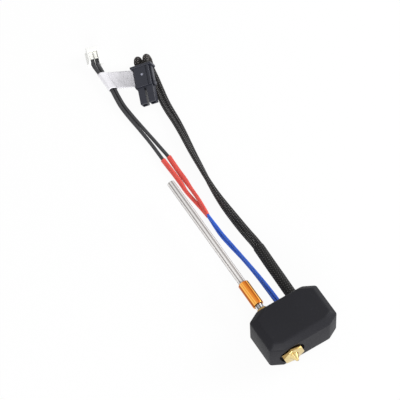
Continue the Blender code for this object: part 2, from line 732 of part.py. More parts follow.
def plug_wing(name, empty, side, look):
    """A springy wing beside the black plug's body, with a hook at its free end."""
    root_y = -PLUG_FLANGE_LENGTH - SEAT
    inner = PLUG_HALF_WIDTH + WING_GAP
    length = PLUG_BODY_LENGTH - SEAT
    hook_y = -length + WING_HOOK_LENGTH
    shape = [
        (0, 0),
        (WING_THICKNESS, 0),
        (WING_THICKNESS, hook_y),
        (WING_THICKNESS + WING_HOOK, hook_y),
        (WING_THICKNESS, -length),
        (0, -length),
    ]
    wing = outline([(side * x, y) for x, y in shape], WING_HEIGHT)
    wing.location = (side * inner, root_y, 0)
    part(wing, name, look)
    wing.parent = empty
    return wing


def heater_plug(matrix):
    """The black plug: a flanged body, two square barrels, two wings and two terminals."""
    look = material("plug_nylon", (0.045, 0.047, 0.06), 0.45)
    empty = frame_empty("heater_plug_frame", matrix)
    half, slit_x = PLUG_HALF_WIDTH, PLUG_SLIT / 2
    body_y = -PLUG_FLANGE_LENGTH - PLUG_BODY_LENGTH
    end_y = body_y - PLUG_BARREL_LENGTH
    body_z, barrel_z, flange_z = PLUG_BODY_HEIGHT / 2, PLUG_BARREL_HEIGHT / 2, PLUG_FLANGE_HEIGHT / 2
    flange_x = PLUG_FLANGE_WIDTH / 2
    body = span((-half, body_y, -body_z), (half, -PLUG_EDGE, body_z))
    bevel(body, PLUG_EDGE)
    part(body, "heater_plug_housing", look)
    flange = span((-flange_x, -PLUG_FLANGE_LENGTH, -flange_z), (flange_x, 0, flange_z))
    barrels = span((-half, end_y, -barrel_z), (half, body_y + SEAT, barrel_z))
    bump_y = -PLUG_FLANGE_LENGTH - PLUG_BUMP_FROM_FLANGE
    bump = box(PLUG_BUMP, (PLUG_BUMP_X, bump_y, body_z))
    lumps = {"flange": flange, "barrels": barrels, "bump": bump}
    for name, lump in lumps.items():
        bevel(tool(lump, f"heater_plug_{name}"), PLUG_EDGE)
        lump.parent = empty
    slit = span((-slit_x, end_y - SEAT, -flange_z), (slit_x, body_y - SEAT, flange_z))
    groove = span(
        (PLUG_GROOVE_X, body_y - SEAT, body_z - PLUG_GROOVE_DEPTH),
        (PLUG_GROOVE_X + PLUG_GROOVE_WIDTH, -PLUG_FLANGE_LENGTH, flange_z),
    )
    cuts = {"slit": slit, "groove": groove}
    for name, side in (("left", -1), ("right", 1)):
        size = (PLUG_CAVITY, 2 * SEAT - end_y, PLUG_CAVITY)
        cuts[f"{name}_cavity"] = box(size, (side * PLUG_PITCH / 2, end_y / 2, 0))
    body.parent = empty
    join(body, *lumps.values())
    for name, shape in cuts.items():
        tool(shape, f"heater_plug_{name}").parent = empty
    cut(body, *cuts.values())
    brass = material("plug_terminal_metal", (0.75, 0.62, 0.36), 0.3, 1.0)
    for name, side in (("left", -1), ("right", 1)):
        plug_wing(f"heater_plug_wing_{name}", empty, side, look)
        terminal(
            f"heater_terminal_{name}",
            empty,
            side * PLUG_PITCH / 2,
            -LEAD_IN_PLUG - SEAT - PLUG_TERMINAL_LENGTH,
            PLUG_TERMINAL_LENGTH,
            PLUG_CAVITY - 2 * TERMINAL_SLIP,
            -1,
            brass,
        )
    return body


def sensor_plug(matrix):
    """The white plug: a ribbed housing with an open slot over its two terminals."""
    look = material("housing_nylon", (0.88, 0.88, 0.86), 0.4)
    empty = frame_empty("sensor_plug_frame", matrix)
    slot_x, half_z = HOUSING_SLOT_WIDTH / 2, HOUSING_HEIGHT / 2
    half_x = slot_x + HOUSING_SIDE_WALL
    body = span((-half_x, 0, -half_z), (half_x, HOUSING_LENGTH, half_z))
    bevel(body, HOUSING_EDGE)
    part(body, "sensor_plug_housing", look)
    body.parent = empty
    ribs_x = half_x + HOUSING_RIB.x
    ribs = span(
        (-ribs_x, HOUSING_EDGE, HOUSING_EDGE - half_z),
        (ribs_x, HOUSING_EDGE + HOUSING_RIB.y, HOUSING_EDGE + HOUSING_RIB.z - half_z),
    )
    bevel(tool(ribs, "sensor_plug_ribs"), HOUSING_EDGE).parent = empty
    join(body, ribs)
    high = (slot_x, HOUSING_SLOT_LENGTH, HOUSING_HEIGHT)
    slot = span((-slot_x, -SEAT, HOUSING_SLOT_RISE), high)
    tool(slot, "sensor_plug_slot").parent = empty
    cut(body, slot)
    brass = material("sensor_terminal_metal", (0.80, 0.70, 0.45), 0.3, 1.0)
    for name, side in (("left", -1), ("right", 1)):
        x = side * HOUSING_PITCH / 2
        size = (HOUSING_CAVITY, HOUSING_LENGTH + 2 * SEAT, HOUSING_CAVITY)
        cavity = box(size, (x, HOUSING_LENGTH / 2, 0))
        tool(cavity, f"sensor_plug_{name}_cavity").parent = empty
        cut(body, cavity)
        terminal(
            f"sensor_terminal_{name}",
            empty,
            x,
            WIRE_IN_HOUSING + SEAT,
            HOUSING_TERMINAL_LENGTH,
            HOUSING_CAVITY - 2 * TERMINAL_SLIP,
            1,
            brass,
        )
    return body


def flag_label():
    """A strip wrapped round both sensor wires with its two ends stuck together as a flag."""
    look = material("label_film", (0.80, 0.79, 0.83), 0.5)
    x, y, z, gap, turn = WIRE_PAIR_ROUTE[LABEL_POINT]
    turn = math.radians(turn)
    inner = WIRE_DIAMETER / 2 + LABEL_SLIP
    outer = inner + LABEL_THICKNESS
    root = math.asin(LABEL_THICKNESS / outer)
    right = (WIRE_DIAMETER + gap * MM) / 2 * Vector((math.cos(turn), math.sin(turn)))
    quarter = math.pi / 2

    def arc(radius, middle, start, end, count=8):
        angles = [start + (end - start) * i / count for i in range(count + 1)]
        return [middle + radius * Vector((math.cos(a), math.sin(a))) for a in angles]

    tail_start = right + Vector((outer * math.cos(root), 0))
    tail = []
    for i in range(1, 6):
        share = i / 5
        drop = LABEL_DROOP * (3 * share**2 - 2 * share**3)
        tail.append(tail_start + Vector((LABEL_TAIL * share, -drop)))
    half = Vector((0, LABEL_THICKNESS))
    loop = arc(outer, right, root, turn + quarter)
    loop += arc(outer, -right, turn + quarter, turn + 3 * quarter)
    loop += arc(outer, right, turn - quarter, -root)
    loop += [point - half for point in tail] + [point + half for point in reversed(tail)]
    hole = arc(inner, right, turn - quarter, turn + quarter)
    hole += arc(inner, -right, turn + quarter, turn + 3 * quarter)
    label = outline(loop, LABEL_LENGTH, [hole])
    for corner in label.data.vertices:
        corner.co.z += LABEL_SKEW * max(0, corner.co.x - right.x)
    label.location = (x * MM, y * MM - LABEL_BEFORE_POINT, z * MM)
    label.rotation_euler = (math.pi / 2, 0, 0)
    return part(label, "flag_label", look)


def heater_wiring(matrix):
    """The boot at the sock and the two braided leads, which swell where they loop into the plug."""
    black = material("boot_braid", (0.02, 0.02, 0.022), 0.7)
    boot = start_of_lead(HEATER_X) + [Vector(p) * MM for p in BOOT_ROUTE]
    wire("heater_boot", boot, BOOT_DIAMETER, black)
    for name, side in (("left", -1), ("right", 1)):
        braid = material(f"heater_lead_{name}_braid", (0.025, 0.025, 0.027), 0.7)
        points = side_of_pair(LEAD_PAIR_ROUTE, side, LEAD_DIAMETER)
        route = [(*point, 1.0) for point in points]
        x = side * PLUG_PITCH / 2
        for angle in LEAD_LOOP_ANGLES:
            out = math.cos(math.radians(angle)) * LEAD_LOOP_RADIUS
            down = (1 - math.sin(math.radians(angle))) * LEAD_LOOP_RADIUS
            place = matrix @ Vector((x, LEAD_LOOP_STRAIGHT + out, -down))
            route.append((*place, LEAD_LOOP_SWELL))
        for y in (LEAD_LOOP_STRAIGHT / 3, 0, -LEAD_IN_PLUG):
            route.append((*(matrix @ Vector((x, y, 0))), 1.0))
        wire(f"heater_lead_{name}", route, LEAD_DIAMETER, braid)


def sensor_wiring(matrix):
    """The blue leads, the red joint sleeves and the black wires that end in the white plug."""
    start = [(*(point / MM), PAIR_GAP / MM, BLUE_TURN) for point in start_of_lead(SENSOR_X)]
    for name, side in (("lower", -1), ("upper", 1)):
        blue = material(f"sensor_lead_{name}_blue", (0.03, 0.09, 0.55), 0.4)
        route = side_of_pair(start + BLUE_PAIR_ROUTE, side, BLUE_DIAMETER)
        wire(f"sensor_lead_{name}", route, BLUE_DIAMETER, blue)
    for name, route in (("upper", RED_UPPER_ROUTE), ("lower", RED_LOWER_ROUTE)):
        red = material(f"joint_sleeve_{name}_red", (0.75, 0.08, 0.06), 0.45)
        points = [(x * MM, y * MM, z * MM, share) for x, y, z, share in route]
        wire(f"joint_sleeve_{name}", points, RED_DIAMETER, red)
    for name, side in (("left", -1), ("right", 1)):
        black = material(f"sensor_wire_{name}_black", (0.03, 0.03, 0.032), 0.5)
        route = side_of_pair(WIRE_PAIR_ROUTE, side, WIRE_DIAMETER)
        x = side * HOUSING_PITCH / 2
        for y in (-WIRE_STRAIGHT, 0, WIRE_IN_HOUSING):
            route.append(matrix @ Vector((x, y, 0)))
        wire(f"sensor_wire_{name}", route, WIRE_DIAMETER, black)


def main():
    silicone_sock()
    heater_block()
    steel = material("set_screw_steel", (0.12, 0.12, 0.13), 0.4, 1.0)
    set_screw("heater_set_screw", HEATER_X, HEATER_DIAMETER, steel)
    set_screw("sensor_set_screw", SENSOR_X, SENSOR_DIAMETER, steel)
    sheath = material("heater_sheath_steel", (0.60, 0.60, 0.60), 0.3, 1.0)
    cartridge("heater_cartridge", HEATER_X, HEATER_DIAMETER, HEATER_FLOOR, sheath)
    capsule = material("sensor_capsule_steel", (0.65, 0.65, 0.66), 0.3, 1.0)
    cartridge("sensor_cartridge", SENSOR_X, SENSOR_DIAMETER, SENSOR_FLOOR, capsule)
    nozzle()
    heat_break()
    liner_tube()
    plug_matrix = frame_matrix(PLUG_PLACE, PLUG_TURN)
    housing_z = HOUSING_HEIGHT / 2 + SLIP
    housing_matrix = frame_matrix((*HOUSING_PLACE, housing_z), HOUSING_TURN)
    heater_plug(plug_matrix)
    sensor_plug(housing_matrix)
    flag_label()
    heater_wiring(plug_matrix)
    sensor_wiring(housing_matrix)


main()
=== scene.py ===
"""The looks of a printer hotend, round its CAD model.

The braided heater leads, the sensor leads, the label, the sock, the nozzle, the copper sleeve and the
liner tube are modelled here. The other CAD nodes stay as they are and get their finishes.

Metres, +Z up, in the CAD frame: the part lies on the back of its sock, with the nozzle towards -Y and
the liner tube towards +Y.
"""

import math

import bpy
import numpy as np
from mathutils import Matrix, Vector


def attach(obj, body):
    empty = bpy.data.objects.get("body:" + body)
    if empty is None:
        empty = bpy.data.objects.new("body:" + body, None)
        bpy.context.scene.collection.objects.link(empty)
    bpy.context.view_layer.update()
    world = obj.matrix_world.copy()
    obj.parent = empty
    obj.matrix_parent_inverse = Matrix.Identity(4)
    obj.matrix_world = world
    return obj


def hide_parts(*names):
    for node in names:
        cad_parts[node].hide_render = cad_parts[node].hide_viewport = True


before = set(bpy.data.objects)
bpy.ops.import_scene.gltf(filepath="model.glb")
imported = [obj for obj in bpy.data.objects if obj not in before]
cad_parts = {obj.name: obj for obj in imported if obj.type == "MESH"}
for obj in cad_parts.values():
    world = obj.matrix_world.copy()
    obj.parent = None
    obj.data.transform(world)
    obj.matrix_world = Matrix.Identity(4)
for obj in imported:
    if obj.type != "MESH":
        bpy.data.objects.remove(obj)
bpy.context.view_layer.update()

MM = 0.001

# ---------------------------------------------------------------- camera

IMAGE_SIDE = 400
FOCAL_PIXELS = 2160
SENSOR_WIDTH = 36
CLIP_START = 10 * MM
CAMERA_AZIMUTH = math.radians(-32.72)
CAMERA_ELEVATION = math.radians(62.59)
CAMERA_DISTANCE = 800 * MM
SIGHT_POINT = Vector((0, 0, 8 * MM))
SIGHT_PIXEL = (293.2, 325.4)


def photo_camera():
    """The camera of the photograph, placed from the sock and aimed through the picture's middle."""
    sin_a, cos_a = math.sin(CAMERA_AZIMUTH), math.cos(CAMERA_AZIMUTH)
    sin_e, cos_e = math.sin(CAMERA_ELEVATION), math.cos(CAMERA_ELEVATION)
    back = Vector((sin_a * cos_e, -cos_a * cos_e, sin_e))
    right = Vector((cos_a, sin_a, 0))
    up = back.cross(right)
    level = Matrix((right, up, back)).transposed()
    across, down = (IMAGE_SIDE / 2 - pixel for pixel in SIGHT_PIXEL)
    middle = Vector((across, -down, -FOCAL_PIXELS)).normalized()
    swing = Vector((0, 0, -1)).rotation_difference(middle).to_matrix()
    lens = bpy.data.cameras.new("photo_camera")
    lens.sensor_width = SENSOR_WIDTH
    lens.lens = SENSOR_WIDTH * FOCAL_PIXELS / IMAGE_SIDE
    lens.clip_start = CLIP_START
    camera = bpy.data.objects.new("photo_camera", lens)
    stand = Matrix.Translation(SIGHT_POINT + back * CAMERA_DISTANCE)
    camera.matrix_world = stand @ (level @ swing).to_4x4()
    bpy.context.scene.collection.objects.link(camera)
    bpy.context.scene.camera = camera


# ---------------------------------------------------------------- shader expressions


class Flow:
    """A shader socket. Python's operators on it add Math nodes."""

    def __init__(self, look, socket):
        self.look = look
        self.socket = socket

    def maths(self, operation, *values):
        made = self.look.node("Math", {"operation": operation}, dict(enumerate(values)))
        return Flow(self.look, made.outputs[0])

    def __add__(self, other):
        return self.maths("ADD", self, other)

    def __radd__(self, other):
        return self.maths("ADD", other, self)

    def __sub__(self, other):
        return self.maths("SUBTRACT", self, other)

    def __rsub__(self, other):
        return self.maths("SUBTRACT", other, self)

    def __mul__(self, other):
        return self.maths("MULTIPLY", self, other)

    def __rmul__(self, other):
        return self.maths("MULTIPLY", other, self)

    def __truediv__(self, other):
        return self.maths("DIVIDE", self, other)

    def __pow__(self, other):
        return self.maths("POWER", self, other)

    def size(self):
        return self.maths("ABSOLUTE", self)

    def root(self):
        return self.maths("SQRT", self)

    def highest(self, other):
        return self.maths("MAXIMUM", self, other)

    def step(self, low, high):
        """0 below low, 1 above high, smooth between."""
        sockets = {"Value": self, "From Min": low, "From Max": high}
        made = self.look.node("MapRange", {"interpolation_type": "SMOOTHSTEP"}, sockets)
        return Flow(self.look, made.outputs["Result"])


class Look:
    """A material, or the world, as a node tree."""

    def __init__(self, owner):
        owner.use_nodes = True
        self.owner = owner
        self.tree = owner.node_tree

    def node(self, kind, settings=None, sockets=None):
        """Any node: its settings are set first, then its sockets get their values or links."""
        made = self.tree.nodes.new("ShaderNode" + kind)
        for name, value in (settings or {}).items():
            setattr(made, name, value)
        for name, value in (sockets or {}).items():
            self.feed(made.inputs[name], value)
        return made

    def feed(self, socket, value):
        if isinstance(value, Flow):
            self.tree.links.new(value.socket, socket)
        else:
            socket.default_value = value

    def flow(self, kind, output, settings=None, sockets=None):
        return Flow(self, self.node(kind, settings, sockets).outputs[output])

    def place(self):
        """Object coordinates, in metres."""
        return self.flow("TexCoord", "Object")

    def split(self, vector):
        made = self.node("SeparateXYZ", None, {0: vector})
        return [Flow(self, output) for output in made.outputs]

    def vector(self, x, y, z):
        return self.flow("CombineXYZ", 0, None, {0: x, 1: y, 2: z})

    def noise(self, vector, scale, detail=3.0, rough=0.55):
        sockets = {"Vector": vector, "Scale": scale, "Detail": detail, "Roughness": rough}
        return self.flow("TexNoise", "Fac", None, sockets)

    def blend(self, share, low, high):
        """A colour between two colours."""
        made = self.node("Mix", {"data_type": "RGBA"})
        sockets = [s for s in made.inputs if s.enabled]
        for socket, value in zip(sockets, (share, low, high)):
            self.feed(socket, (*value, 1.0) if isinstance(value, tuple) else value)
        return Flow(self, next(s for s in made.outputs if s.enabled))


class Finish(Look):
    """A Principled material. Constants go straight on the shader's own sockets."""

    def __init__(self, name, **constants):
        super().__init__(bpy.data.materials.new(name))
        self.shader = self.tree.nodes["Principled BSDF"]
        for socket, value in constants.items():
            self.shader.inputs[socket.replace("_", " ")].default_value = value

    def show(self, colour=None, roughness=None, height=None, depth=0.02 * MM, **others):
        """Links what changes over the surface: colour, roughness and a bump of that depth."""
        fed = {"Base Color": colour, "Roughness": roughness}
        fed.update({name.replace("_", " "): value for name, value in others.items()})
        for name, value in fed.items():
            if value is not None:
                self.feed(self.shader.inputs[name], value)
        if height is not None:
            sockets = {"Height": height, "Distance": depth}
            self.feed(self.shader.inputs["Normal"], self.flow("Bump", 0, None, sockets))
        return self.owner


# ---------------------------------------------------------------- floor, lamps and world

FLOOR_SIDE = 4.0
FLOOR_DROP = 0.02 * MM
FLOOR_WHITE = 0.86
FLOOR_ROUGHNESS = 0.9
SHADOW_SHARE = 0.06
WORLD_LIGHT = 0.58
SEEN_RAYS = ("Camera", "Glossy", "Transmission")
SOFTBOX_SIDE = 0.5
SOFTBOX_TARGET = Vector((0, 60 * MM, 0))
SOFTBOXES = {  # place and power
    "softbox_right": (Vector((0.75, -0.1, 0.38)), 6.0),
    "softbox_front": (Vector((-0.3, -0.8, 0.28)), 8.0),
}


def seen_ray(look):
    """1 for camera, glossy and transmission rays, which see plain white."""
    path = look.node("LightPath")
    camera, glossy, through = (Flow(look, path.outputs[f"Is {kind} Ray"]) for kind in SEEN_RAYS)
    return camera.highest(glossy).highest(through)


def studio_floor():
    """A pale floor that shows as white and keeps a faint shadow."""
    bpy.ops.mesh.primitive_plane_add(size=FLOOR_SIDE, location=(0, 0, -FLOOR_DROP))
    floor = bpy.context.object
    floor.name = "studio_floor"
    look = Finish("floor_paper", Roughness=FLOOR_ROUGHNESS, Specular_IOR_Level=0.0)
    look.shader.inputs["Base Color"].default_value = (FLOOR_WHITE,) * 3 + (1.0,)
    white = look.node("Emission")
    mixed = look.node("MixShader", None, {0: seen_ray(look) * (1 - SHADOW_SHARE)})
    look.tree.links.new(look.shader.outputs[0], mixed.inputs[1])
    look.tree.links.new(white.outputs[0], mixed.inputs[2])
    look.tree.links.new(mixed.outputs[0], look.tree.nodes["Material Output"].inputs["Surface"])
    floor.data.materials.append(look.owner)


def studio_world():
    """Soft light from all round, and plain white where the camera looks past the floor."""
    world = bpy.data.worlds.new("studio_world")
    bpy.context.scene.world = world
    look = Look(world)
    background = look.tree.nodes["Background"]
    look.feed(background.inputs["Strength"], WORLD_LIGHT + seen_ray(look) * (1 - WORLD_LIGHT))
    background.inputs["Color"].default_value = (1, 1, 1, 1)


def studio_lamps():
    """Two large soft lamps, both low: one to the right and one in front."""
    for name, (place, power) in SOFTBOXES.items():
        lamp = bpy.data.lights.new(name, "AREA")
        lamp.shape = "SQUARE"
        lamp.size = SOFTBOX_SIDE
        lamp.energy = power
        holder = bpy.data.objects.new(name, lamp)
        holder.location = place
        holder.rotation_euler = (SOFTBOX_TARGET - place).to_track_quat("-Z", "Y").to_euler()
        bpy.context.scene.collection.objects.link(holder)


bpy.context.scene.view_settings.view_transform = "Standard"
photo_camera()
studio_floor()
studio_world()
studio_lamps()

# ---------------------------------------------------------------- routes of the CAD source, in millimetres

SOCK_AXIS_Z = 8.0
CARTRIDGE_END_Y = 8.0
LEADS_BEND_Y = 13.0
HEATER_X = 6.5
SENSOR_X = 0.5

LEAD_DIAMETER = 1.9
BOOT_DIAMETER = 4.1
BLUE_DIAMETER = 1.05
RED_DIAMETER = 2.0
WIRE_DIAMETER = 1.45
PAIR_GAP = 0.1

# Drawn larger than in the CAD: the boot as full as a braided sleeve is, and the rest so that no floor shows
# between the two of a pair or at a sleeve's end
BOOT_WIDTH = 4.35
LEAD_WIDTH = 1.95  # over the crests of the braid
BLUE_SWELL = (1.14, 1.14, 1.12, 1.06)  # shares of the diameter at the first points, in the sock
WIRE_SWELL = 1.1  # share of the diameter beside the white plug
WIRE_SWELL_Y = 138.0
SLEEVE_LAP = 0.8

# A point of a pair's route: x, y, z, the gap between the two, and their turn in degrees.
# A point of a sleeve's route: x, y, z and, where it tapers, its share of the diameter.
BOOT_ROUTE = [
    (HEATER_X, CARTRIDGE_END_Y, SOCK_AXIS_Z),
    (HEATER_X, LEADS_BEND_Y, SOCK_AXIS_Z),
    (6.8, 20.0, 7.5),
    (7.3, 28.0, 6.2),
    (7.9, 35.7, 4.8),
]
LEAD_PAIR_ROUTE = [
    (8.0, 36.1, 4.7, 0.1, -155),
    (8.1, 40.0, 3.9, 0.1, -155),
    (8.0, 44.0, 3.1, 0.1, -152),
    (7.9, 49.0, 2.3, 0.1, -145),
    (7.8, 54.0, 1.9, 0.1, -135),
    (7.6, 60.0, 1.9, 0.1, -118),
    (7.6, 65.0, 2.0, 0.1, -102),
    (7.8, 69.2, 2.0, 0.1, -90),
    (8.3, 75.0, 2.0, 0.1, -76),
    (9.0, 81.0, 1.9, 0.1, -65),
    (9.7, 87.0, 1.8, 0.1, -55),
    (10.5, 92.5, 1.7, 0.1, -46),
    (11.4, 98.5, 1.6, 0.1, -36),
    (12.1, 104.5, 1.4, 0.1, -24),
    (12.5, 110.0, 1.2, 0.1, -12),
    (13.1, 115.0, 1.1, 0.1, -5),
    (14.1, 120.2, 1.05, 0.1, 0),
    (15.2, 126.0, 1.1, 0.2, 0),
    (15.9, 131.0, 1.2, 0.5, 4),
]
BLUE_PAIR_ROUTE = [
    (SENSOR_X, CARTRIDGE_END_Y, SOCK_AXIS_Z, PAIR_GAP, 30),
    (SENSOR_X, LEADS_BEND_Y, SOCK_AXIS_Z, PAIR_GAP, 30),
    (0.6, 19.4, 7.2, 0.1, 48),
    (0.7, 26.8, 5.8, 0.1, 66),
    (0.6, 35.6, 4.0, 0.1, 70),
    (0.2, 44.1, 2.4, 0.1, 50),
    (-0.1, 50.0, 1.6, 0.1, 46),
    (-0.1, 54.5, 1.4, 0.2, 66),
    (-0.1, 58.2, 1.55, 0.45, 88),
    (-0.1, 60.8, 1.68, 0.6, 95),
]
RED_UPPER_ROUTE = [
    (-0.15, 61.2, 2.5, 0.77),
    (0.1, 63.5, 2.5, 0.77),
    (0.6, 68.8, 2.0, 0.77),
    (0.8, 74.6, 1.5, 0.8),
    (1.0, 79.0, 1.15, 1.0),
    (1.0, 83.8, 1.05, 1.0),
    (1.05, 88.0, 1.05, 1.0),
    (1.15, 90.8, 1.05, 1.0),
]
RED_LOWER_ROUTE = [
    (-0.05, 61.2, 0.85, 0.77),
    (-0.25, 63.8, 0.85, 0.77),
    (-0.8, 69.1, 0.85, 0.77),
    (-1.3, 74.4, 0.9, 0.8),
    (-1.12, 79.0, 1.05, 1.0),
    (-1.17, 83.4, 1.05, 1.0),
    (-1.35, 88.0, 1.05, 1.0),
    (-1.45, 90.8, 1.05, 1.0),
]
WIRE_PAIR_ROUTE = [
    (-0.15, 91.2, 1.0, 1.15, 0),
    (-0.35, 96.0, 0.85, 0.75, 0),
    (-0.6, 101.0, 0.8, 0.4, 0),
    (-1.2, 108.8, 0.8, 0.1, 0),
    (-1.85, 116.5, 0.9, 0.1, -6),
    (-2.1, 122.2, 1.1, 0.1, -14),
    (-1.75, 127.0, 1.4, 0.1, -20),
    (-1.4, 130.0, 1.5, 0.1, -20),
    (-1.35, 133.0, 1.5, 0.1, -20),
    (-1.35, 137.0, 1.5, 0.1, -20),
    (-1.38, 140.0, 1.55, 0.15, -18),
    (-1.42, 142.3, 2.0, 0.3, -8),
]

# The black plug on the heater leads
PLUG_PLACE = Vector((12.79, 131.07, 6.19))
PLUG_TURN = (12.7, -20.1, -25.1)
PLUG_PITCH = 3.75
PLUG_BUMP = (-0.05, -4.36, 2.8)
LEAD_LOOP_RADIUS = 2.8
LEAD_LOOP_STRAIGHT = 1.5
LEAD_LOOP_ANGLES = (-50, -20, 10, 40, 70, 90)
LEAD_LOOP_SWELL = 1.25
LEAD_IN_PLUG = 1.2

# The white plug on the sensor wires
HOUSING_PLACE = Vector((-1.25, 144.75, 2.45))
HOUSING_TURN = (0, 0, -18)
HOUSING_PITCH = 1.8
WIRE_STRAIGHT = 0.8
WIRE_IN_HOUSING = 1.6

CURVE_STEPS = 16  # between two points of a route
STRAND_HEIGHT = "strand_height"  # the attribute that holds a braid's relief


def own_frame(place, turn):
    """The matrix of a plug's own frame, in millimetres."""
    x, y, z = (math.radians(angle) for angle in turn)
    rotation = Matrix.Rotation(z, 4, "Z") @ Matrix.Rotation(y, 4, "Y") @ Matrix.Rotation(x, 4, "X")
    return Matrix.Translation(place) @ rotation


PLUG_FRAME = own_frame(PLUG_PLACE, PLUG_TURN)
HOUSING_FRAME = own_frame(HOUSING_PLACE, HOUSING_TURN)


def side_of_pair(route, side, diameter):
    """One wire's own points from the route of a pair."""
    points = []
    for x, y, z, gap, turn in route:
        reach = side * (diameter + gap) / 2
        angle = math.radians(turn)
        points.append((x + reach * math.cos(angle), y, z + reach * math.sin(angle)))
    return points


def smooth_route(points, step):
    """Points about a step apart on a smooth curve through a route's own points."""
    route = np.array(points, float)
    route = np.vstack([2 * route[0] - route[1], route, 2 * route[-1] - route[-2]])
    fine = []
    for p0, p1, p2, p3 in zip(route, route[1:], route[2:], route[3:]):
        for t in np.linspace(0, 1, CURVE_STEPS, endpoint=False):
            square = (2 * p0 - 5 * p1 + 4 * p2 - p3) * t**2
            cube = (3 * p1 - p0 - 3 * p2 + p3) * t**3
            fine.append((2 * p1 + (p2 - p0) * t + square + cube) / 2)
    fine = np.array([*fine, route[-2]])
    steps = np.linalg.norm(np.diff(fine[:, :3], axis=0), axis=1)
    along = np.concatenate([[0], np.cumsum(steps)])
    at = np.linspace(0, along[-1], max(2, math.ceil(along[-1] / step) + 1))
    return np.stack([np.interp(at, along, values) for values in fine.T], axis=1)


def lapped(route, ends=(0, -1)):
    """A sleeve's route, drawn out at its ends so that it laps over the cords there."""
    route = [np.array(point, float) for point in route]
    for end in ends:
        inner = 1 if end == 0 else -2
        line = route[end][:3] - route[inner][:3]
        route[end][:3] += line / np.linalg.norm(line) * SLEEVE_LAP
    return route


def tube(name, route, diameter, step, sides, relief=None):
    """A mesh tube along a route in millimetres, with a UV map round and along it, both in turns of its girth.

    A point's fourth value is its share of the diameter.
    relief gives a height in millimetres from the two UVs.
    """
    points = smooth_route(route, step)
    centres = points[:, :3]
    radii = (points[:, 3] if points.shape[1] > 3 else np.ones(len(points))) * diameter / 2
    steps = np.linalg.norm(np.diff(centres, axis=0), axis=1)
    along = np.concatenate([[0], np.cumsum(steps)])
    girth = math.pi * diameter
    tangents = np.gradient(centres, axis=0)
    tangents /= np.linalg.norm(tangents, axis=1)[:, None]
    normal = np.cross(tangents[0], (1.0, 0.0, 0.0))
    turns = np.arange(sides) / sides
    angles = 2 * np.pi * turns
    rings, heights = [], []
    for centre, tangent, radius, v in zip(centres, tangents, radii, along / girth):
        normal = normal - tangent * (normal @ tangent)
        normal /= np.linalg.norm(normal)
        across = np.cross(tangent, normal)
        rise = relief(turns, np.full(sides, v)) if relief else np.zeros(sides)
        heights.append(rise)
        out = np.outer(np.cos(angles), normal) + np.outer(np.sin(angles), across)
        rings.append(centre + out * (radius + rise)[:, None])
    count = len(rings)
    verts = np.concatenate([*rings, centres[:1], centres[-1:]]) * MM
    faces, uvs = [], []
    for i in range(count - 1):
        low, high = along[i] / girth, along[i + 1] / girth
        for j in range(sides):
            k = (j + 1) % sides
            faces.append((i * sides + j, i * sides + k, (i + 1) * sides + k, (i + 1) * sides + j))
            left, right = j / sides, (j + 1) / sides
            uvs += [(left, low), (right, low), (right, high), (left, high)]
    for ring, middle in ((0, count * sides), (count - 1, count * sides + 1)):
        edge = along[ring] / girth
        for j in range(sides):
            k = (j + 1) % sides
            pair = (j, k) if ring else (k, j)
            faces.append((middle, ring * sides + pair[0], ring * sides + pair[1]))
            uvs += [(0.5, edge), (pair[0] / sides, edge), (pair[1] / sides, edge)]
    mesh = bpy.data.meshes.new(name)
    mesh.from_pydata([tuple(v) for v in verts], [], faces)
    layer = mesh.uv_layers.new(name="girth")
    layer.data.foreach_set("uv", np.array(uvs, np.float32).ravel())
    if relief:
        height = mesh.attributes.new(STRAND_HEIGHT, "FLOAT", "POINT")
        height.data.foreach_set("value", np.concatenate([*heights, [0, 0]]).astype(np.float32))
    mesh.shade_smooth()
    piece = bpy.data.objects.new(name, mesh)
    bpy.context.scene.collection.objects.link(piece)
    return piece, centres * MM


# ---------------------------------------------------------------- finishes of the cords

# The relief of a braid, in shares of its rise
STRAND_BASE = 0.6
STRAND_LOW, STRAND_CROWN = 0.55, 0.45
UNDER_SLANT = 0.78  # the strands of one slant stand less proud

# Noises, in features a metre, and depths of bumps
YARN_FUZZ, YARN_TONE, YARN_BUMP = 9000, 260, 0.03 * MM
VINYL_ROUND, VINYL_ALONG = 30.0, 0.8  # draw lines, in turns of the girth
VINYL_SPOT, VINYL_BUMP = 420, 0.02 * MM

YARN_CREST = (-0.03, 0.055)  # heights in millimetres from which and to which the yarn grows light
# Painted shade in the braid's gaps
YARN_GAP_SHADE = (0.002, 0.002, 0.002)
BOOT_YARN = (0.115, 0.112, 0.112)
LEAD_YARN = (0.27, 0.262, 0.262)
# Painted light: the paler yarn round the bend at the plug
LOOP_PAINTED_LIGHT = (0.36, 0.315, 0.295)
BEND_Y = (130.5 * MM, 133 * MM)

# Shade, light and gloss
SLEEVE_RED = ((0.56, 0.042, 0.034), (0.88, 0.125, 0.095), 0.38)
LEAD_BLUE = ((0.012, 0.060, 0.42), (0.036, 0.17, 0.78), 0.25)
WIRE_BLACK = ((0.018, 0.018, 0.020), (0.050, 0.050, 0.054), 0.42)


def braid_relief(strands, rise):
    """The height of a braid: strands of two slants that pass over and under each other."""

    def height(u, v):
        one, two = strands * (u + v), strands * (u - v)
        over = (np.floor(one) + np.floor(two)) % 2 == 0
        bow_one = np.sin(np.pi * (one % 1))
        bow_two = np.sin(np.pi * (two % 1))
        top = np.where(over, bow_one, bow_two)
        run = np.where(over, bow_two, bow_one)
        proud = np.where(over, 1.0, UNDER_SLANT)
        return rise * (proud * np.sqrt(top) * (STRAND_LOW + STRAND_CROWN * run) - STRAND_BASE)

    return height


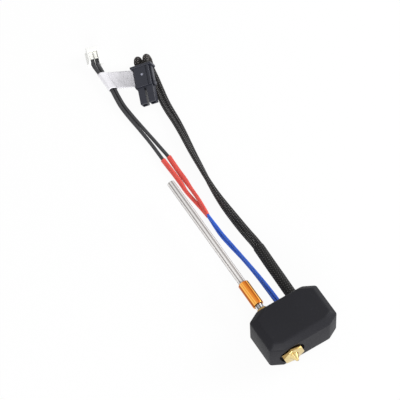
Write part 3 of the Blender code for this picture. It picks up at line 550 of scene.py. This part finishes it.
def braid_finish(name, light):
    """Fine braided yarn, with painted shade in its gaps and painted light that makes it paler round the bend at
    the plug.
    """
    look = Finish(name, Specular_IOR_Level=0.2, Sheen_Weight=0.04, Sheen_Roughness=0.4)
    height = look.flow("Attribute", "Fac", {"attribute_name": STRAND_HEIGHT})
    spot = look.place()
    fuzz = look.noise(spot, YARN_FUZZ, 2.0)
    tone = look.noise(spot, YARN_TONE, 2.0)
    # Painted shade: the yarn goes dark between its crests
    crest = height.step(*YARN_CREST) ** 2.0 * (0.55 + 0.45 * tone)
    # Painted light round the bend at the plug
    bend = look.split(spot)[1].step(*BEND_Y)
    colour = look.blend(crest, YARN_GAP_SHADE, look.blend(bend, light, LOOP_PAINTED_LIGHT))
    return look.show(colour, 0.55 + 0.25 * fuzz, fuzz, YARN_BUMP)


def vinyl_finish(name, shade, light, gloss):
    """Smooth extruded insulation with a little drawn grain along it."""
    look = Finish(name, Specular_IOR_Level=0.4)
    round_it, along, _ = look.split(look.flow("TexCoord", "UV"))
    drawn = look.noise(look.vector(round_it * VINYL_ROUND, along * VINYL_ALONG, 0.0), 1.0, 2.0)
    spot = look.noise(look.place(), VINYL_SPOT, 3.0)
    colour = look.blend(0.35 * drawn + 0.65 * spot, shade, light)
    return look.show(colour, gloss + 0.18 * spot, drawn, VINYL_BUMP)


# ---------------------------------------------------------------- heater leads and sensor leads

# Step along a tube in millimetres, and sides round it
BOOT_MESH = (0.2, 84)
LEAD_MESH = (0.14, 48)
SLEEVE_MESH = (0.25, 32)
BLUE_MESH = (0.25, 24)
WIRE_MESH = (0.25, 28)

# Strands of each slant, and their rise in millimetres
BOOT_BRAID = (13, 0.14)
LEAD_BRAID = (7, 0.13)


def plug_loop(side):
    """A lead's own points from the floor round and into the black plug, with its swell in the loop."""
    x = side * PLUG_PITCH / 2
    points = []
    for angle in LEAD_LOOP_ANGLES:
        out = math.cos(math.radians(angle)) * LEAD_LOOP_RADIUS
        down = (1 - math.sin(math.radians(angle))) * LEAD_LOOP_RADIUS
        place = PLUG_FRAME @ Vector((x, LEAD_LOOP_STRAIGHT + out, -down))
        points.append((*place, LEAD_LOOP_SWELL))
    for y in (LEAD_LOOP_STRAIGHT / 3, 0, -LEAD_IN_PLUG):
        points.append((*(PLUG_FRAME @ Vector((x, y, 0))), 1.0))
    return points


def finish_piece(piece, look, body, slot, *nodes):
    """Gives a new piece its finish and its body, and hides the CAD nodes that it stands for; slot is not used.
    """
    piece.data.materials.append(look)
    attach(piece, body)
    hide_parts(*nodes)
    return piece


def heater_leads():
    """The boot, and the two leads from its end to the black plug."""
    boot_route = lapped(BOOT_ROUTE, ends=(-1,))
    boot, _ = tube("boot_braid", boot_route, BOOT_WIDTH, *BOOT_MESH, braid_relief(*BOOT_BRAID))
    finish_piece(boot, braid_finish("boot_yarn", BOOT_YARN), "hotend", "boot_braid", "heater_boot")
    yarn = braid_finish("lead_yarn", LEAD_YARN)
    relief = braid_relief(*LEAD_BRAID)
    for name, side in (("left", -1), ("right", 1)):
        floor_run = side_of_pair(LEAD_PAIR_ROUTE, side, LEAD_DIAMETER)
        route = [(*point, 1.0) for point in floor_run] + plug_loop(side)
        lead, path = tube(f"lead_{name}_braid", route, LEAD_WIDTH, *LEAD_MESH, relief)
        finish_piece(lead, yarn, "hotend", f"heater_lead_{name}_braid", f"heater_lead_{name}")


def sensor_leads():
    """The blue leads, the red sleeves on their ends, and the black wires from there to the white plug."""
    red = vinyl_finish("sleeve_red", *SLEEVE_RED)
    blue = vinyl_finish("lead_blue", *LEAD_BLUE)
    black = vinyl_finish("wire_black", *WIRE_BLACK)
    sleeves = {"upper": RED_UPPER_ROUTE, "lower": RED_LOWER_ROUTE}
    for name, side in (("lower", -1), ("upper", 1)):
        sleeve, _ = tube(f"red_sleeve_{name}", lapped(sleeves[name]), RED_DIAMETER, *SLEEVE_MESH)
        finish_piece(sleeve, red, "hotend", f"joint_sleeve_{name}_red", f"joint_sleeve_{name}")
        route = side_of_pair(BLUE_PAIR_ROUTE, side, BLUE_DIAMETER)
        swell = [*BLUE_SWELL, *[1.0] * (len(route) - len(BLUE_SWELL))]
        route = [(*point, share) for point, share in zip(route, swell)]
        lead, path = tube(f"blue_lead_{name}", route, BLUE_DIAMETER, *BLUE_MESH)
        finish_piece(lead, blue, "hotend", f"sensor_lead_{name}_blue", f"sensor_lead_{name}")
    for name, side in (("left", -1), ("right", 1)):
        floor_run = side_of_pair(WIRE_PAIR_ROUTE, side, WIRE_DIAMETER)
        route = [(*point, WIRE_SWELL if point[1] > WIRE_SWELL_Y else 1.0) for point in floor_run]
        for y, share in ((-WIRE_STRAIGHT, WIRE_SWELL), (0, 1.0), (WIRE_IN_HOUSING, 1.0)):
            route.append((*(HOUSING_FRAME @ Vector((side * HOUSING_PITCH / 2, y, 0))), share))
        wire, path = tube(f"black_wire_{name}", route, WIRE_DIAMETER, *WIRE_MESH)
        finish_piece(wire, black, "hotend", f"sensor_wire_{name}_black", f"sensor_wire_{name}")


# ---------------------------------------------------------------- sizes of the hard pieces, in metres

NOZZLE_X = -6.3 * MM
AXIS_Z = SOCK_AXIS_Z * MM

SOCK_HALF = Vector((14.65, 9.5, 8.0)) * MM
SOCK_CORNER = Vector((4.7, 2.5)) * MM
SOCK_CHAMFER = 2.3 * MM
SOCK_RIM_SHARE = 0.52  # of the chamfer, round the open back
SOCK_RIM_DEPTH = 0.1 * MM
SOCK_ROUND = 0.6 * MM
SOCK_SIDE_WALL = 1.5 * MM
SOCK_FACE_WALL = 1.9 * MM
HOLE_GAP = 0.4812 * MM
COLLAR_DIAMETER = 4.1 * MM
NOTCH_GAP = 0.3 * MM

HEX_CORNER = 4.6188 * MM
HEX_SEAT_Y = -8.0 * MM
HEX_FACE_Y = -10.65 * MM
HEX_TURN = math.radians(-15)
HEX_EDGE = 0.22 * MM
TIP_Y = -13.05 * MM
TIP_RADIUS = 0.45 * MM
CONE_RADIUS = 1.8 * MM
ORIFICE_RADIUS = 0.2 * MM
SHANK_RADIUS = 2.9 * MM
SHANK_END_Y = -0.4 * MM
FILAMENT_RADIUS = 1.05 * MM

SLEEVE = {
    "radius": 2.2 * MM,
    "bore": 1.65 * MM,
    "low_y": 13.9 * MM,
    "high_y": 24.8 * MM,
    "edge": 0.4 * MM,
}
LINER = {
    "radius": 1.5 * MM,
    "bore": 1.0 * MM,
    "low_y": 16.2 * MM,
    "high_y": 77.2 * MM,
    "edge": 0.08 * MM,
}

# ---------------------------------------------------------------- finishes of the hard pieces

# Noises, in features a metre, and depths of bumps
RUBBER_GRAIN, RUBBER_TONE, RUBBER_DUST, RUBBER_BUMP = 5200, 90, 900, 0.025 * MM
LATHE_RINGS, LATHE_STAIN, LATHE_BUMP = 9000.0, 300, 0.002 * MM
# Broad and fine streaks of painted reflections on the sleeve and the neck
BROAD_STREAKS, FINE_STREAKS, DRAWN_BUMP = (1600.0, 9.0), (5200.0, 40.0), 0.002 * MM  # across and along
SCRATCHES, METAL_CLOUD, SCRATCH_BUMP = (7000.0, 500.0), 600, 0.008 * MM
NYLON_GRAIN, NYLON_FLOW, NYLON_BUMP = 6500, 300, 0.02 * MM
LINER_MILK, LINER_DRIFT, LINER_BUMP = 500, (1500.0, 12.0), 0.003 * MM

# Colours, from the darkest of a finish to its lightest
SOCK_BLACK = ((0.014, 0.014, 0.0165), (0.021, 0.021, 0.025))
SOCK_DUST = (0.06, 0.06, 0.066)
# The nozzle's darkest brass is painted shade and its lightest a painted highlight.
NOZZLE_BRASS = ((0.24, 0.12, 0.02), (1.0, 0.82, 0.40))
# The sleeve's and the neck's darks and lights are painted reflections.
SLEEVE_COPPER = ((0.42, 0.10, 0.014), (0.84, 0.27, 0.035), (1.0, 0.58, 0.15))
NECK_STEEL = ((0.10, 0.10, 0.10), (0.55, 0.55, 0.56), (0.95, 0.95, 0.96))
BLOCK_ALUMINIUM = ((0.45, 0.46, 0.48), (0.72, 0.73, 0.75))
SCREW_OXIDE = ((0.03, 0.03, 0.032), (0.10, 0.10, 0.11))
SHEATH_STEEL = ((0.42, 0.42, 0.43), (0.70, 0.70, 0.71))
PLUG_BLACK = ((0.012, 0.013, 0.021), (0.022, 0.024, 0.037))
# A painted highlight on the black plug's bump
PLUG_HIGHLIGHT = (0.30, 0.31, 0.38)
HOUSING_WHITE = ((0.90, 0.90, 0.88), (0.96, 0.96, 0.94))
TERMINAL_PLATE = ((0.70, 0.62, 0.42), (0.92, 0.86, 0.68))
TERMINAL_TIN = ((0.90, 0.89, 0.84), (0.98, 0.98, 0.95))
LINER_PALE = (0.86, 0.84, 0.82)
# The grey of the liner's painted shade
LINER_SHADE_COLOUR = (0.17, 0.145, 0.14)

# Where a colour comes in and is full
DUST_LEVEL = (0.6, 0.8)
CONE_FADE = 0.1 * MM
HEX_FACE_FADE = (-0.12 * MM, -0.04 * MM)
# Where the nozzle's painted shade side begins and is full, across its axis
SHADED_FLANK_SIDE = (0.1, 0.7)
# Radii in which the plug's painted highlight is full and then fades out
HIGHLIGHT_RADII = (0.3 * MM, 0.75 * MM)

# The liner's painted shade stripes, in shares of its radius along a line across it, whose x and z come first
LINER_ACROSS = (0.96, 0.27)
LINER_BAND_IN, LINER_BAND_OUT = (0.12, 0.32), (0.62, 0.78)
LINER_LINE_AT, LINER_LINE_WIDTH = -0.36, (0.05, 0.2)
LINER_SHADED_FLANKS = (0.8, 0.95)


def dress(look, *names):
    """Gives CAD nodes a finish in place of their plain colour."""
    for name in names:
        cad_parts[name].material_slots[0].material = look


def streaks(look, scales, detail):
    """A noise drawn out along Y."""
    across, along = scales
    x, y, z = look.split(look.place())
    return look.noise(look.vector(x * across, y * along, z * across), 1.0, detail)


def sock_rubber():
    """Moulded black silicone: a fine matt grain, a little dust and a slow change of tone."""
    look = Finish("sock_rubber", IOR=1.42, Specular_IOR_Level=0.12)
    spot = look.place()
    grain = look.noise(spot, RUBBER_GRAIN, 2.0)
    tone = look.noise(spot, RUBBER_TONE, 3.0)
    dust = look.noise(spot, RUBBER_DUST, 4.0, 0.7)
    colour = look.blend(0.6 * tone + 0.4 * grain, *SOCK_BLACK)
    colour = look.blend(dust.step(*DUST_LEVEL) * 0.3, colour, SOCK_DUST)
    return look.show(colour, 0.42 + 0.12 * tone, grain, RUBBER_BUMP)


def turned_metal(name, dark, light, gloss):
    """Metal from a lathe: rings round the nozzle's axis and a little stain, with painted light: a painted
    highlight on a flank and on the hex, painted shade on the right flank, and the hex's sides and the shank
    painted darker as shade.
    """
    look = Finish(name, Metallic=1.0)
    spot = look.place()
    x, y, z = look.split(spot)
    out_x, out_z = x - NOZZLE_X, z - AXIS_Z
    from_axis = (out_x**2.0 + out_z**2.0).root()
    rings = look.noise(look.vector(from_axis * LATHE_RINGS, y * LATHE_RINGS, 0.0), 1.0, 2.0)
    flank = look.noise(look.vector(out_x / from_axis, out_z / from_axis, 0.0), 1.3, 1.0)
    stain = look.noise(spot, LATHE_STAIN, 3.0)
    # Painted shade: away from the hex's front face and the cone (the hex's sides, the shank) the brass is
    # painted darker.
    on_face = (HEX_FACE_Y - y).step(*HEX_FACE_FADE)
    off_cone = from_axis.step(CONE_RADIUS, CONE_RADIUS + CONE_FADE)
    # Painted highlight where the angle noise is high and on the hex; none on the right flank, which is painted
    # shade.
    painted_shade_side = (out_x / from_axis).step(*SHADED_FLANK_SIDE)
    painted_highlight = (flank.step(0.42, 0.58) * (1.0 - painted_shade_side)).highest(off_cone * 0.8)
    tone = (0.15 * rings + 0.25 * stain + 0.6 * painted_highlight) * (0.3 + 0.7 * on_face)
    return look.show(look.blend(tone, dark, light), gloss + 0.12 * rings, rings, LATHE_BUMP)


def reflection_streaked_metal(name, dark, middle, light, gloss):
    """Metal tube with painted reflections: bright and dark streaks run along it in place of the surroundings it
    would reflect.
    """
    look = Finish(name, Metallic=1.0)
    # Painted reflections: broad and fine streaks along the tube, dark and bright.
    broad = streaks(look, BROAD_STREAKS, 1.0)
    fine = streaks(look, FINE_STREAKS, 2.0)
    colour = look.blend(broad.step(0.42, 0.56), dark, middle)
    colour = look.blend((0.75 * broad + 0.25 * fine).step(0.52, 0.62), colour, light)
    return look.show(colour, gloss + 0.15 * fine, fine, DRAWN_BUMP)


def plain_metal(name, dark, light, gloss):
    """Rolled or milled metal: cloudy, with fine scratches along Y."""
    look = Finish(name, Metallic=1.0)
    scratch = streaks(look, SCRATCHES, 3.0)
    cloud = look.noise(look.place(), METAL_CLOUD, 3.0)
    colour = look.blend(0.5 * scratch + 0.5 * cloud, dark, light)
    return look.show(colour, gloss + 0.2 * scratch, scratch, SCRATCH_BUMP)


def moulded_nylon(name, dark, light, gloss, highlight_at=None, **constants):
    """Moulded nylon: a fine spark-eroded grain, soft flow marks and, if given, a painted highlight round a
    place.
    """
    look = Finish(name, **constants)
    spot = look.place()
    grain, flow = look.noise(spot, NYLON_GRAIN, 2.0), look.noise(spot, NYLON_FLOW, 3.0)
    colour = look.blend(0.4 * grain + 0.6 * flow, dark, light)
    if highlight_at:
        off = [part - at for part, at in zip(look.split(spot), highlight_at)]
        near = (off[0] ** 2.0 + off[1] ** 2.0 + off[2] ** 2.0).root()
        # Painted highlight, pale round the given place
        colour = look.blend(1.0 - near.step(*HIGHLIGHT_RADII), colour, PLUG_HIGHLIGHT)
    return look.show(colour, gloss + 0.15 * flow, grain, NYLON_BUMP)


def clear_tube():
    """Clear polymer, faintly milky, with painted shade: a fine line and a grey band run along it, and its flanks
    are painted darker.
    """
    look = Finish("liner_clear", Transmission_Weight=0.1, IOR=1.36)
    x, _, z = look.split(look.place())
    milk = look.noise(look.place(), LINER_MILK, 3.0)
    drift = streaks(look, LINER_DRIFT, 2.0)
    across = (x - NOZZLE_X) * LINER_ACROSS[0] + (z - AXIS_Z) * LINER_ACROSS[1]
    across = across / LINER["radius"]
    # Painted shade: a band and a fine line, as of the bore seen through the tube, and darker flanks
    band = across.step(*LINER_BAND_IN) * (1.0 - across.step(*LINER_BAND_OUT))
    line = 1.0 - (across - LINER_LINE_AT).size().step(*LINER_LINE_WIDTH)
    shaded_flanks = across.size().step(*LINER_SHADED_FLANKS)
    painted_stripes = (0.75 * band + 0.8 * line + 0.85 * shaded_flanks) * (0.45 + 1.1 * drift)
    colour = look.blend(painted_stripes, LINER_PALE, LINER_SHADE_COLOUR)
    return look.show(colour, 0.05 + 0.1 * milk, milk, LINER_BUMP)


def hard_finishes():
    """The finishes of the CAD nodes that stay, with the gloss of each."""
    dress(reflection_streaked_metal("neck_drawn", *NECK_STEEL, 0.12), "heatbreak_neck")
    dress(plain_metal("block_milled", *BLOCK_ALUMINIUM, 0.3), "heater_block")
    oxide = plain_metal("screw_oxide", *SCREW_OXIDE, 0.35)
    dress(oxide, "heater_set_screw", "sensor_set_screw")
    sheath = plain_metal("sheath_steel", *SHEATH_STEEL, 0.25)
    dress(sheath, "heater_cartridge", "sensor_cartridge")
    # The black plug gets a painted highlight on its bump
    bump = PLUG_FRAME @ Vector(PLUG_BUMP) * MM
    black = moulded_nylon("plug_black", *PLUG_BLACK, 0.34, highlight_at=bump, Specular_IOR_Level=0.4)
    dress(black, "heater_plug_housing", "heater_plug_wing_left", "heater_plug_wing_right")
    dress(moulded_nylon("housing_white", *HOUSING_WHITE, 0.4), "sensor_plug_housing")
    plated = plain_metal("terminal_plated", *TERMINAL_PLATE, 0.3)
    dress(plated, "heater_terminal_left", "heater_terminal_right")
    tinned = plain_metal("terminal_tinned", *TERMINAL_TIN, 0.4)
    dress(tinned, "sensor_terminal_left", "sensor_terminal_right")


# ---------------------------------------------------------------- hand-modelled hard pieces, in metres

FINE_STEPS = 96
TOUCH = 0.001 * MM
RIM_SLACK = 0.02 * MM
WELD = 0.002 * MM
FACING, LEVEL = 0.9, 0.1  # a direction's part along an axis, for one that runs along it and one that runs across
BREAK_SEGMENTS, SOFT_SEGMENTS = 3, 5
SOFT_ANGLE = math.radians(20)


def anywhere(middle, direction):
    """The test that picks everything."""
    return True


def primitive(name, add, **settings):
    """A primitive at its size and place, with that place in its mesh."""
    bpy.ops.object.select_all(action="DESELECT")
    add(**settings)
    piece = bpy.context.object
    piece.name = piece.data.name = name
    bpy.ops.object.transform_apply(location=True, rotation=True, scale=True)
    return piece


def pick(piece, kind, test):
    """In edit mode, selects only the faces or edges whose middle and direction pass a test."""
    bpy.context.view_layer.objects.active = piece
    bpy.ops.object.mode_set(mode="EDIT")
    bpy.ops.mesh.select_mode(type=kind)
    bpy.ops.mesh.select_all(action="DESELECT")
    bpy.ops.object.mode_set(mode="OBJECT")
    mesh = piece.data
    if kind == "FACE":
        for face in mesh.polygons:
            face.select = test(face.center, face.normal)
    else:
        for edge in mesh.edges:
            low, high = (mesh.vertices[i].co for i in edge.vertices)
            edge.select = test((low + high) / 2, (high - low).normalized())
    bpy.ops.object.mode_set(mode="EDIT")


def leave_edit(smooth_angle=40):
    """Back to object mode, smooth but for edges sharper than an angle in degrees."""
    bpy.ops.object.mode_set(mode="OBJECT")
    bpy.ops.object.shade_smooth_by_angle(angle=math.radians(smooth_angle))


def apply_modifier(piece, kind, **settings):
    """Adds a modifier with its settings, and applies it."""
    bpy.ops.object.select_all(action="DESELECT")
    piece.select_set(True)
    bpy.context.view_layer.objects.active = piece
    modifier = piece.modifiers.new(kind.lower(), kind)
    for name, value in settings.items():
        setattr(modifier, name, value)
    bpy.ops.object.modifier_apply(modifier=modifier.name)


def carve(piece, cutter):
    """Cuts one solid out of another."""
    apply_modifier(piece, "BOOLEAN", operation="DIFFERENCE", solver="EXACT", object=cutter)
    bpy.data.objects.remove(cutter)


def rod(name, radius, low_y, high_y, x=NOZZLE_X):
    """A cylinder along Y."""
    return primitive(
        name,
        bpy.ops.mesh.primitive_cylinder_add,
        vertices=FINE_STEPS,
        radius=radius,
        depth=high_y - low_y,
        location=(x, (low_y + high_y) / 2, AXIS_Z),
        rotation=(math.pi / 2, 0, 0),
    )


def bored_tube(name, radius, bore, low_y, high_y, edge):
    """A tube along Y: both ends inset to the bore, bridged through, and the outer rims broken."""
    piece = rod(name, radius, low_y, high_y)
    pick(piece, "FACE", lambda middle, normal: abs(normal.y) > FACING)
    bpy.ops.mesh.inset(thickness=radius - bore, use_individual=True)
    bpy.ops.mesh.bridge_edge_loops()

    def outer_rim(middle, line):
        at_end = min(abs(middle.y - low_y), abs(middle.y - high_y)) < TOUCH
        out = math.hypot(middle.x - NOZZLE_X, middle.z - AXIS_Z)
        return abs(line.y) < LEVEL and at_end and abs(out - radius) < RIM_SLACK

    pick(piece, "EDGE", outer_rim)
    bpy.ops.mesh.bevel(offset=edge, segments=BREAK_SEGMENTS)
    pick(piece, "FACE", anywhere)
    bpy.ops.mesh.normals_make_consistent(inside=False)
    leave_edit()
    return piece


def octagon_block(name, inset, low_y, high_y, half_z):
    """A block with the sock's cut corners, smaller all round by the inset."""
    half_x = SOCK_HALF.x - inset
    piece = primitive(
        name,
        bpy.ops.mesh.primitive_cube_add,
        size=1,
        location=(0, (low_y + high_y) / 2, AXIS_Z),
        scale=(2 * half_x, high_y - low_y, 2 * half_z),
    )
    for right in (-1, 1):
        for back in (-1, 1):
            out = Vector((right * SOCK_CORNER.y, back * SOCK_CORNER.x, 0)).normalized()
            corner = Vector((right * SOCK_HALF.x, back * (SOCK_HALF.y - SOCK_CORNER.y), AXIS_Z))
            pick(piece, "FACE", anywhere)
            bpy.ops.mesh.bisect(
                plane_co=corner - out * inset,
                plane_no=out,
                use_fill=True,
                clear_outer=True,
            )
            bpy.ops.object.mode_set(mode="OBJECT")
    return piece


def soft_sock():
    """The moulded sock: cut corners, chamfers, soft edges, its hollow, the nozzle's hole and two notches."""
    sock = octagon_block("sock_shell", 0.0, -SOCK_HALF.y, SOCK_HALF.y, SOCK_HALF.z)
    rim = SOCK_HALF.y - SOCK_RIM_DEPTH
    pick(sock, "EDGE", lambda middle, line: abs(line.z) < LEVEL and middle.y < rim)
    bpy.ops.transform.edge_bevelweight(value=1.0)
    pick(sock, "EDGE", lambda middle, line: abs(line.z) < LEVEL and middle.y > rim)
    bpy.ops.transform.edge_bevelweight(value=SOCK_RIM_SHARE)
    bpy.ops.object.mode_set(mode="OBJECT")
    apply_modifier(sock, "BEVEL", width=SOCK_CHAMFER, segments=1, limit_method="WEIGHT")
    soft = {"limit_method": "ANGLE", "angle_limit": SOFT_ANGLE}
    apply_modifier(sock, "BEVEL", width=SOCK_ROUND, segments=SOFT_SEGMENTS, **soft)
    far = 3 * SOCK_HALF.y
    front = -SOCK_HALF.y + SOCK_SIDE_WALL
    half_z = SOCK_HALF.z - SOCK_FACE_WALL
    carve(sock, octagon_block("sock_hollow", SOCK_SIDE_WALL, front, far, half_z))
    carve(sock, rod("sock_hole", HEX_CORNER + HOLE_GAP, -far, 0))
    carve(sock, rod("collar_notch", COLLAR_DIAMETER / 2 + NOTCH_GAP, 0, far))
    carve(sock, rod("boot_notch", BOOT_DIAMETER / 2 * MM + NOTCH_GAP, 0, far, HEATER_X * MM))
    pick(sock, "FACE", anywhere)
    bpy.ops.mesh.remove_doubles(threshold=WELD)
    leave_edit(smooth_angle=30)
    return finish_piece(sock, sock_rubber(), "hotend", "sock_silicone", "silicone_sock")


def brass_nozzle(look):
    """A hexagon with broken edges, a fine cone with its orifice, and a bored shank."""
    nozzle = primitive(
        "nozzle_brass",
        bpy.ops.mesh.primitive_cylinder_add,
        vertices=6,
        radius=HEX_CORNER,
        depth=HEX_SEAT_Y - HEX_FACE_Y,
        location=(NOZZLE_X, (HEX_SEAT_Y + HEX_FACE_Y) / 2, AXIS_Z),
        rotation=(-math.pi / 2, HEX_TURN, 0),
    )
    pick(nozzle, "EDGE", anywhere)
    bpy.ops.mesh.bevel(offset=HEX_EDGE, segments=BREAK_SEGMENTS)
    leave_edit(smooth_angle=25)
    cone = primitive(
        "nozzle_cone",
        bpy.ops.mesh.primitive_cone_add,
        vertices=FINE_STEPS,
        radius1=CONE_RADIUS,
        radius2=TIP_RADIUS,
        depth=HEX_FACE_Y - TIP_Y,
        location=(NOZZLE_X, (HEX_FACE_Y + TIP_Y) / 2, AXIS_Z),
        rotation=(math.pi / 2, 0, 0),
    )
    pick(cone, "FACE", lambda middle, normal: normal.y < -FACING)
    bpy.ops.mesh.inset(thickness=TIP_RADIUS - ORIFICE_RADIUS)
    bpy.ops.mesh.extrude_region_move(TRANSFORM_OT_translate={"value": (0, 2 * ORIFICE_RADIUS, 0)})
    leave_edit()
    shank = rod("nozzle_shank", SHANK_RADIUS, HEX_SEAT_Y, SHANK_END_Y)
    pick(shank, "FACE", lambda middle, normal: normal.y > FACING)
    bpy.ops.mesh.inset(thickness=SHANK_RADIUS - FILAMENT_RADIUS)
    bpy.ops.mesh.extrude_region_move(TRANSFORM_OT_translate={"value": (0, -SHANK_RADIUS, 0)})
    leave_edit()
    bpy.ops.object.select_all(action="DESELECT")
    for piece in (shank, cone, nozzle):
        piece.select_set(True)
    bpy.context.view_layer.objects.active = nozzle
    bpy.ops.object.join()
    return finish_piece(nozzle, look, "hotend", "nozzle_brass", "nozzle")


def hard_pieces():
    """The sock, the nozzle, the copper sleeve and the liner tube."""
    soft_sock()
    brass = turned_metal("nozzle_turned", *NOZZLE_BRASS, 0.14)
    dress(brass, "heatbreak_screw_end")
    brass_nozzle(brass)
    copper = reflection_streaked_metal("sleeve_drawn", *SLEEVE_COPPER, 0.14)
    sleeve = bored_tube("copper_sleeve", **SLEEVE)
    finish_piece(sleeve, copper, "hotend", "sleeve_copper", "heatbreak_sleeve")
    liner = bored_tube("clear_liner", **LINER)
    finish_piece(liner, clear_tube(), "liner", "liner_polymer", "liner_tube")


# ---------------------------------------------------------------- flag label, in millimetres

LABEL_MIDDLE = Vector((-1.35, 135.2, 1.5))
LABEL_LENGTH = 9.0
LABEL_FILM = 0.1
LABEL_RADIUS = 1.02
LABEL_PLY = 0.09
LABEL_TAIL = 10.5
LABEL_DROOP = 0.75
LABEL_SKEW = 0.45
LABEL_TURN = math.radians(-20)
LABEL_ROWS = 19
LABEL_ARC_STEPS = 13
LABEL_TAIL_STEPS = 24
RIPPLE_HEIGHT = 0.03
RIPPLE_OUT, RIPPLE_ALONG = 2.1, 5
RIPPLE_START = 1.2
LABEL_WHITE = ((0.80, 0.785, 0.83), (0.91, 0.90, 0.935))
LABEL_FIBRE, LABEL_CLOUD, LABEL_BUMP = 2600, 240, 0.003 * MM


def label_path():
    """The strip's x and z, from one tail end round both wires to the other, and where its skew starts."""
    reach = (WIRE_DIAMETER + PAIR_GAP) / 2
    right = Vector((math.cos(LABEL_TURN), math.sin(LABEL_TURN))) * reach
    root = math.asin(LABEL_PLY / LABEL_RADIUS)
    quarter = math.pi / 2
    arcs = (
        (right, root, LABEL_TURN + quarter),
        (-right, LABEL_TURN + quarter, LABEL_TURN + 3 * quarter),
        (right, LABEL_TURN - quarter, -root),
    )
    wrap = []
    for centre, start, end in arcs:
        for share in np.linspace(0, 1, LABEL_ARC_STEPS):
            angle = start + (end - start) * share
            wrap.append(centre + Vector((math.cos(angle), math.sin(angle))) * LABEL_RADIUS)
    upper, lower = [], []
    for share in np.linspace(0, 1, LABEL_TAIL_STEPS)[1:]:
        drop = LABEL_DROOP * (3 * share**2 - 2 * share**3)
        place = right + Vector((LABEL_RADIUS * math.cos(root) + LABEL_TAIL * share, -drop))
        upper.append(place + Vector((0, LABEL_PLY)))
        lower.append(place - Vector((0, LABEL_PLY)))
    return [*reversed(upper), *wrap, *lower], right.x


def label_film():
    """White film with faint fibres and clouds."""
    look = Finish("label_film", Specular_IOR_Level=0.35)
    spot = look.place()
    fibre, cloud = look.noise(spot, LABEL_FIBRE, 3.0), look.noise(spot, LABEL_CLOUD, 3.0)
    colour = look.blend(0.3 * fibre + 0.7 * cloud, *LABEL_WHITE)
    return look.show(colour, 0.38 + 0.2 * cloud, fibre, LABEL_BUMP)


def flag_label():
    """A thin film strip folded round the sensor wires, with its two ends stuck together as a bare flag."""
    path, skew_from = label_path()
    verts, faces = [], []
    for x, z in path:
        back = LABEL_SKEW * max(0.0, x - skew_from)
        loose = min(1.0, max(0.0, x - skew_from - RIPPLE_START))
        for along in np.linspace(-0.5, 0.5, LABEL_ROWS):
            ripple = RIPPLE_HEIGHT * math.sin(RIPPLE_OUT * x + RIPPLE_ALONG * along) * loose
            place = LABEL_MIDDLE + Vector((x, along * LABEL_LENGTH - back, z + ripple))
            verts.append(tuple(place * MM))
    for i in range(len(path) - 1):
        for j in range(LABEL_ROWS - 1):
            low = i * LABEL_ROWS + j
            faces.append((low, low + 1, low + LABEL_ROWS + 1, low + LABEL_ROWS))
    mesh = bpy.data.meshes.new("label_strip")
    mesh.from_pydata(verts, [], faces)
    mesh.shade_smooth()
    strip = bpy.data.objects.new("label_strip", mesh)
    bpy.context.scene.collection.objects.link(strip)
    apply_modifier(strip, "SOLIDIFY", thickness=LABEL_FILM * MM, offset=0)
    finish_piece(strip, label_film(), "hotend", "label_film", "flag_label")


hard_finishes()
hard_pieces()
flag_label()
heater_leads()
sensor_leads()
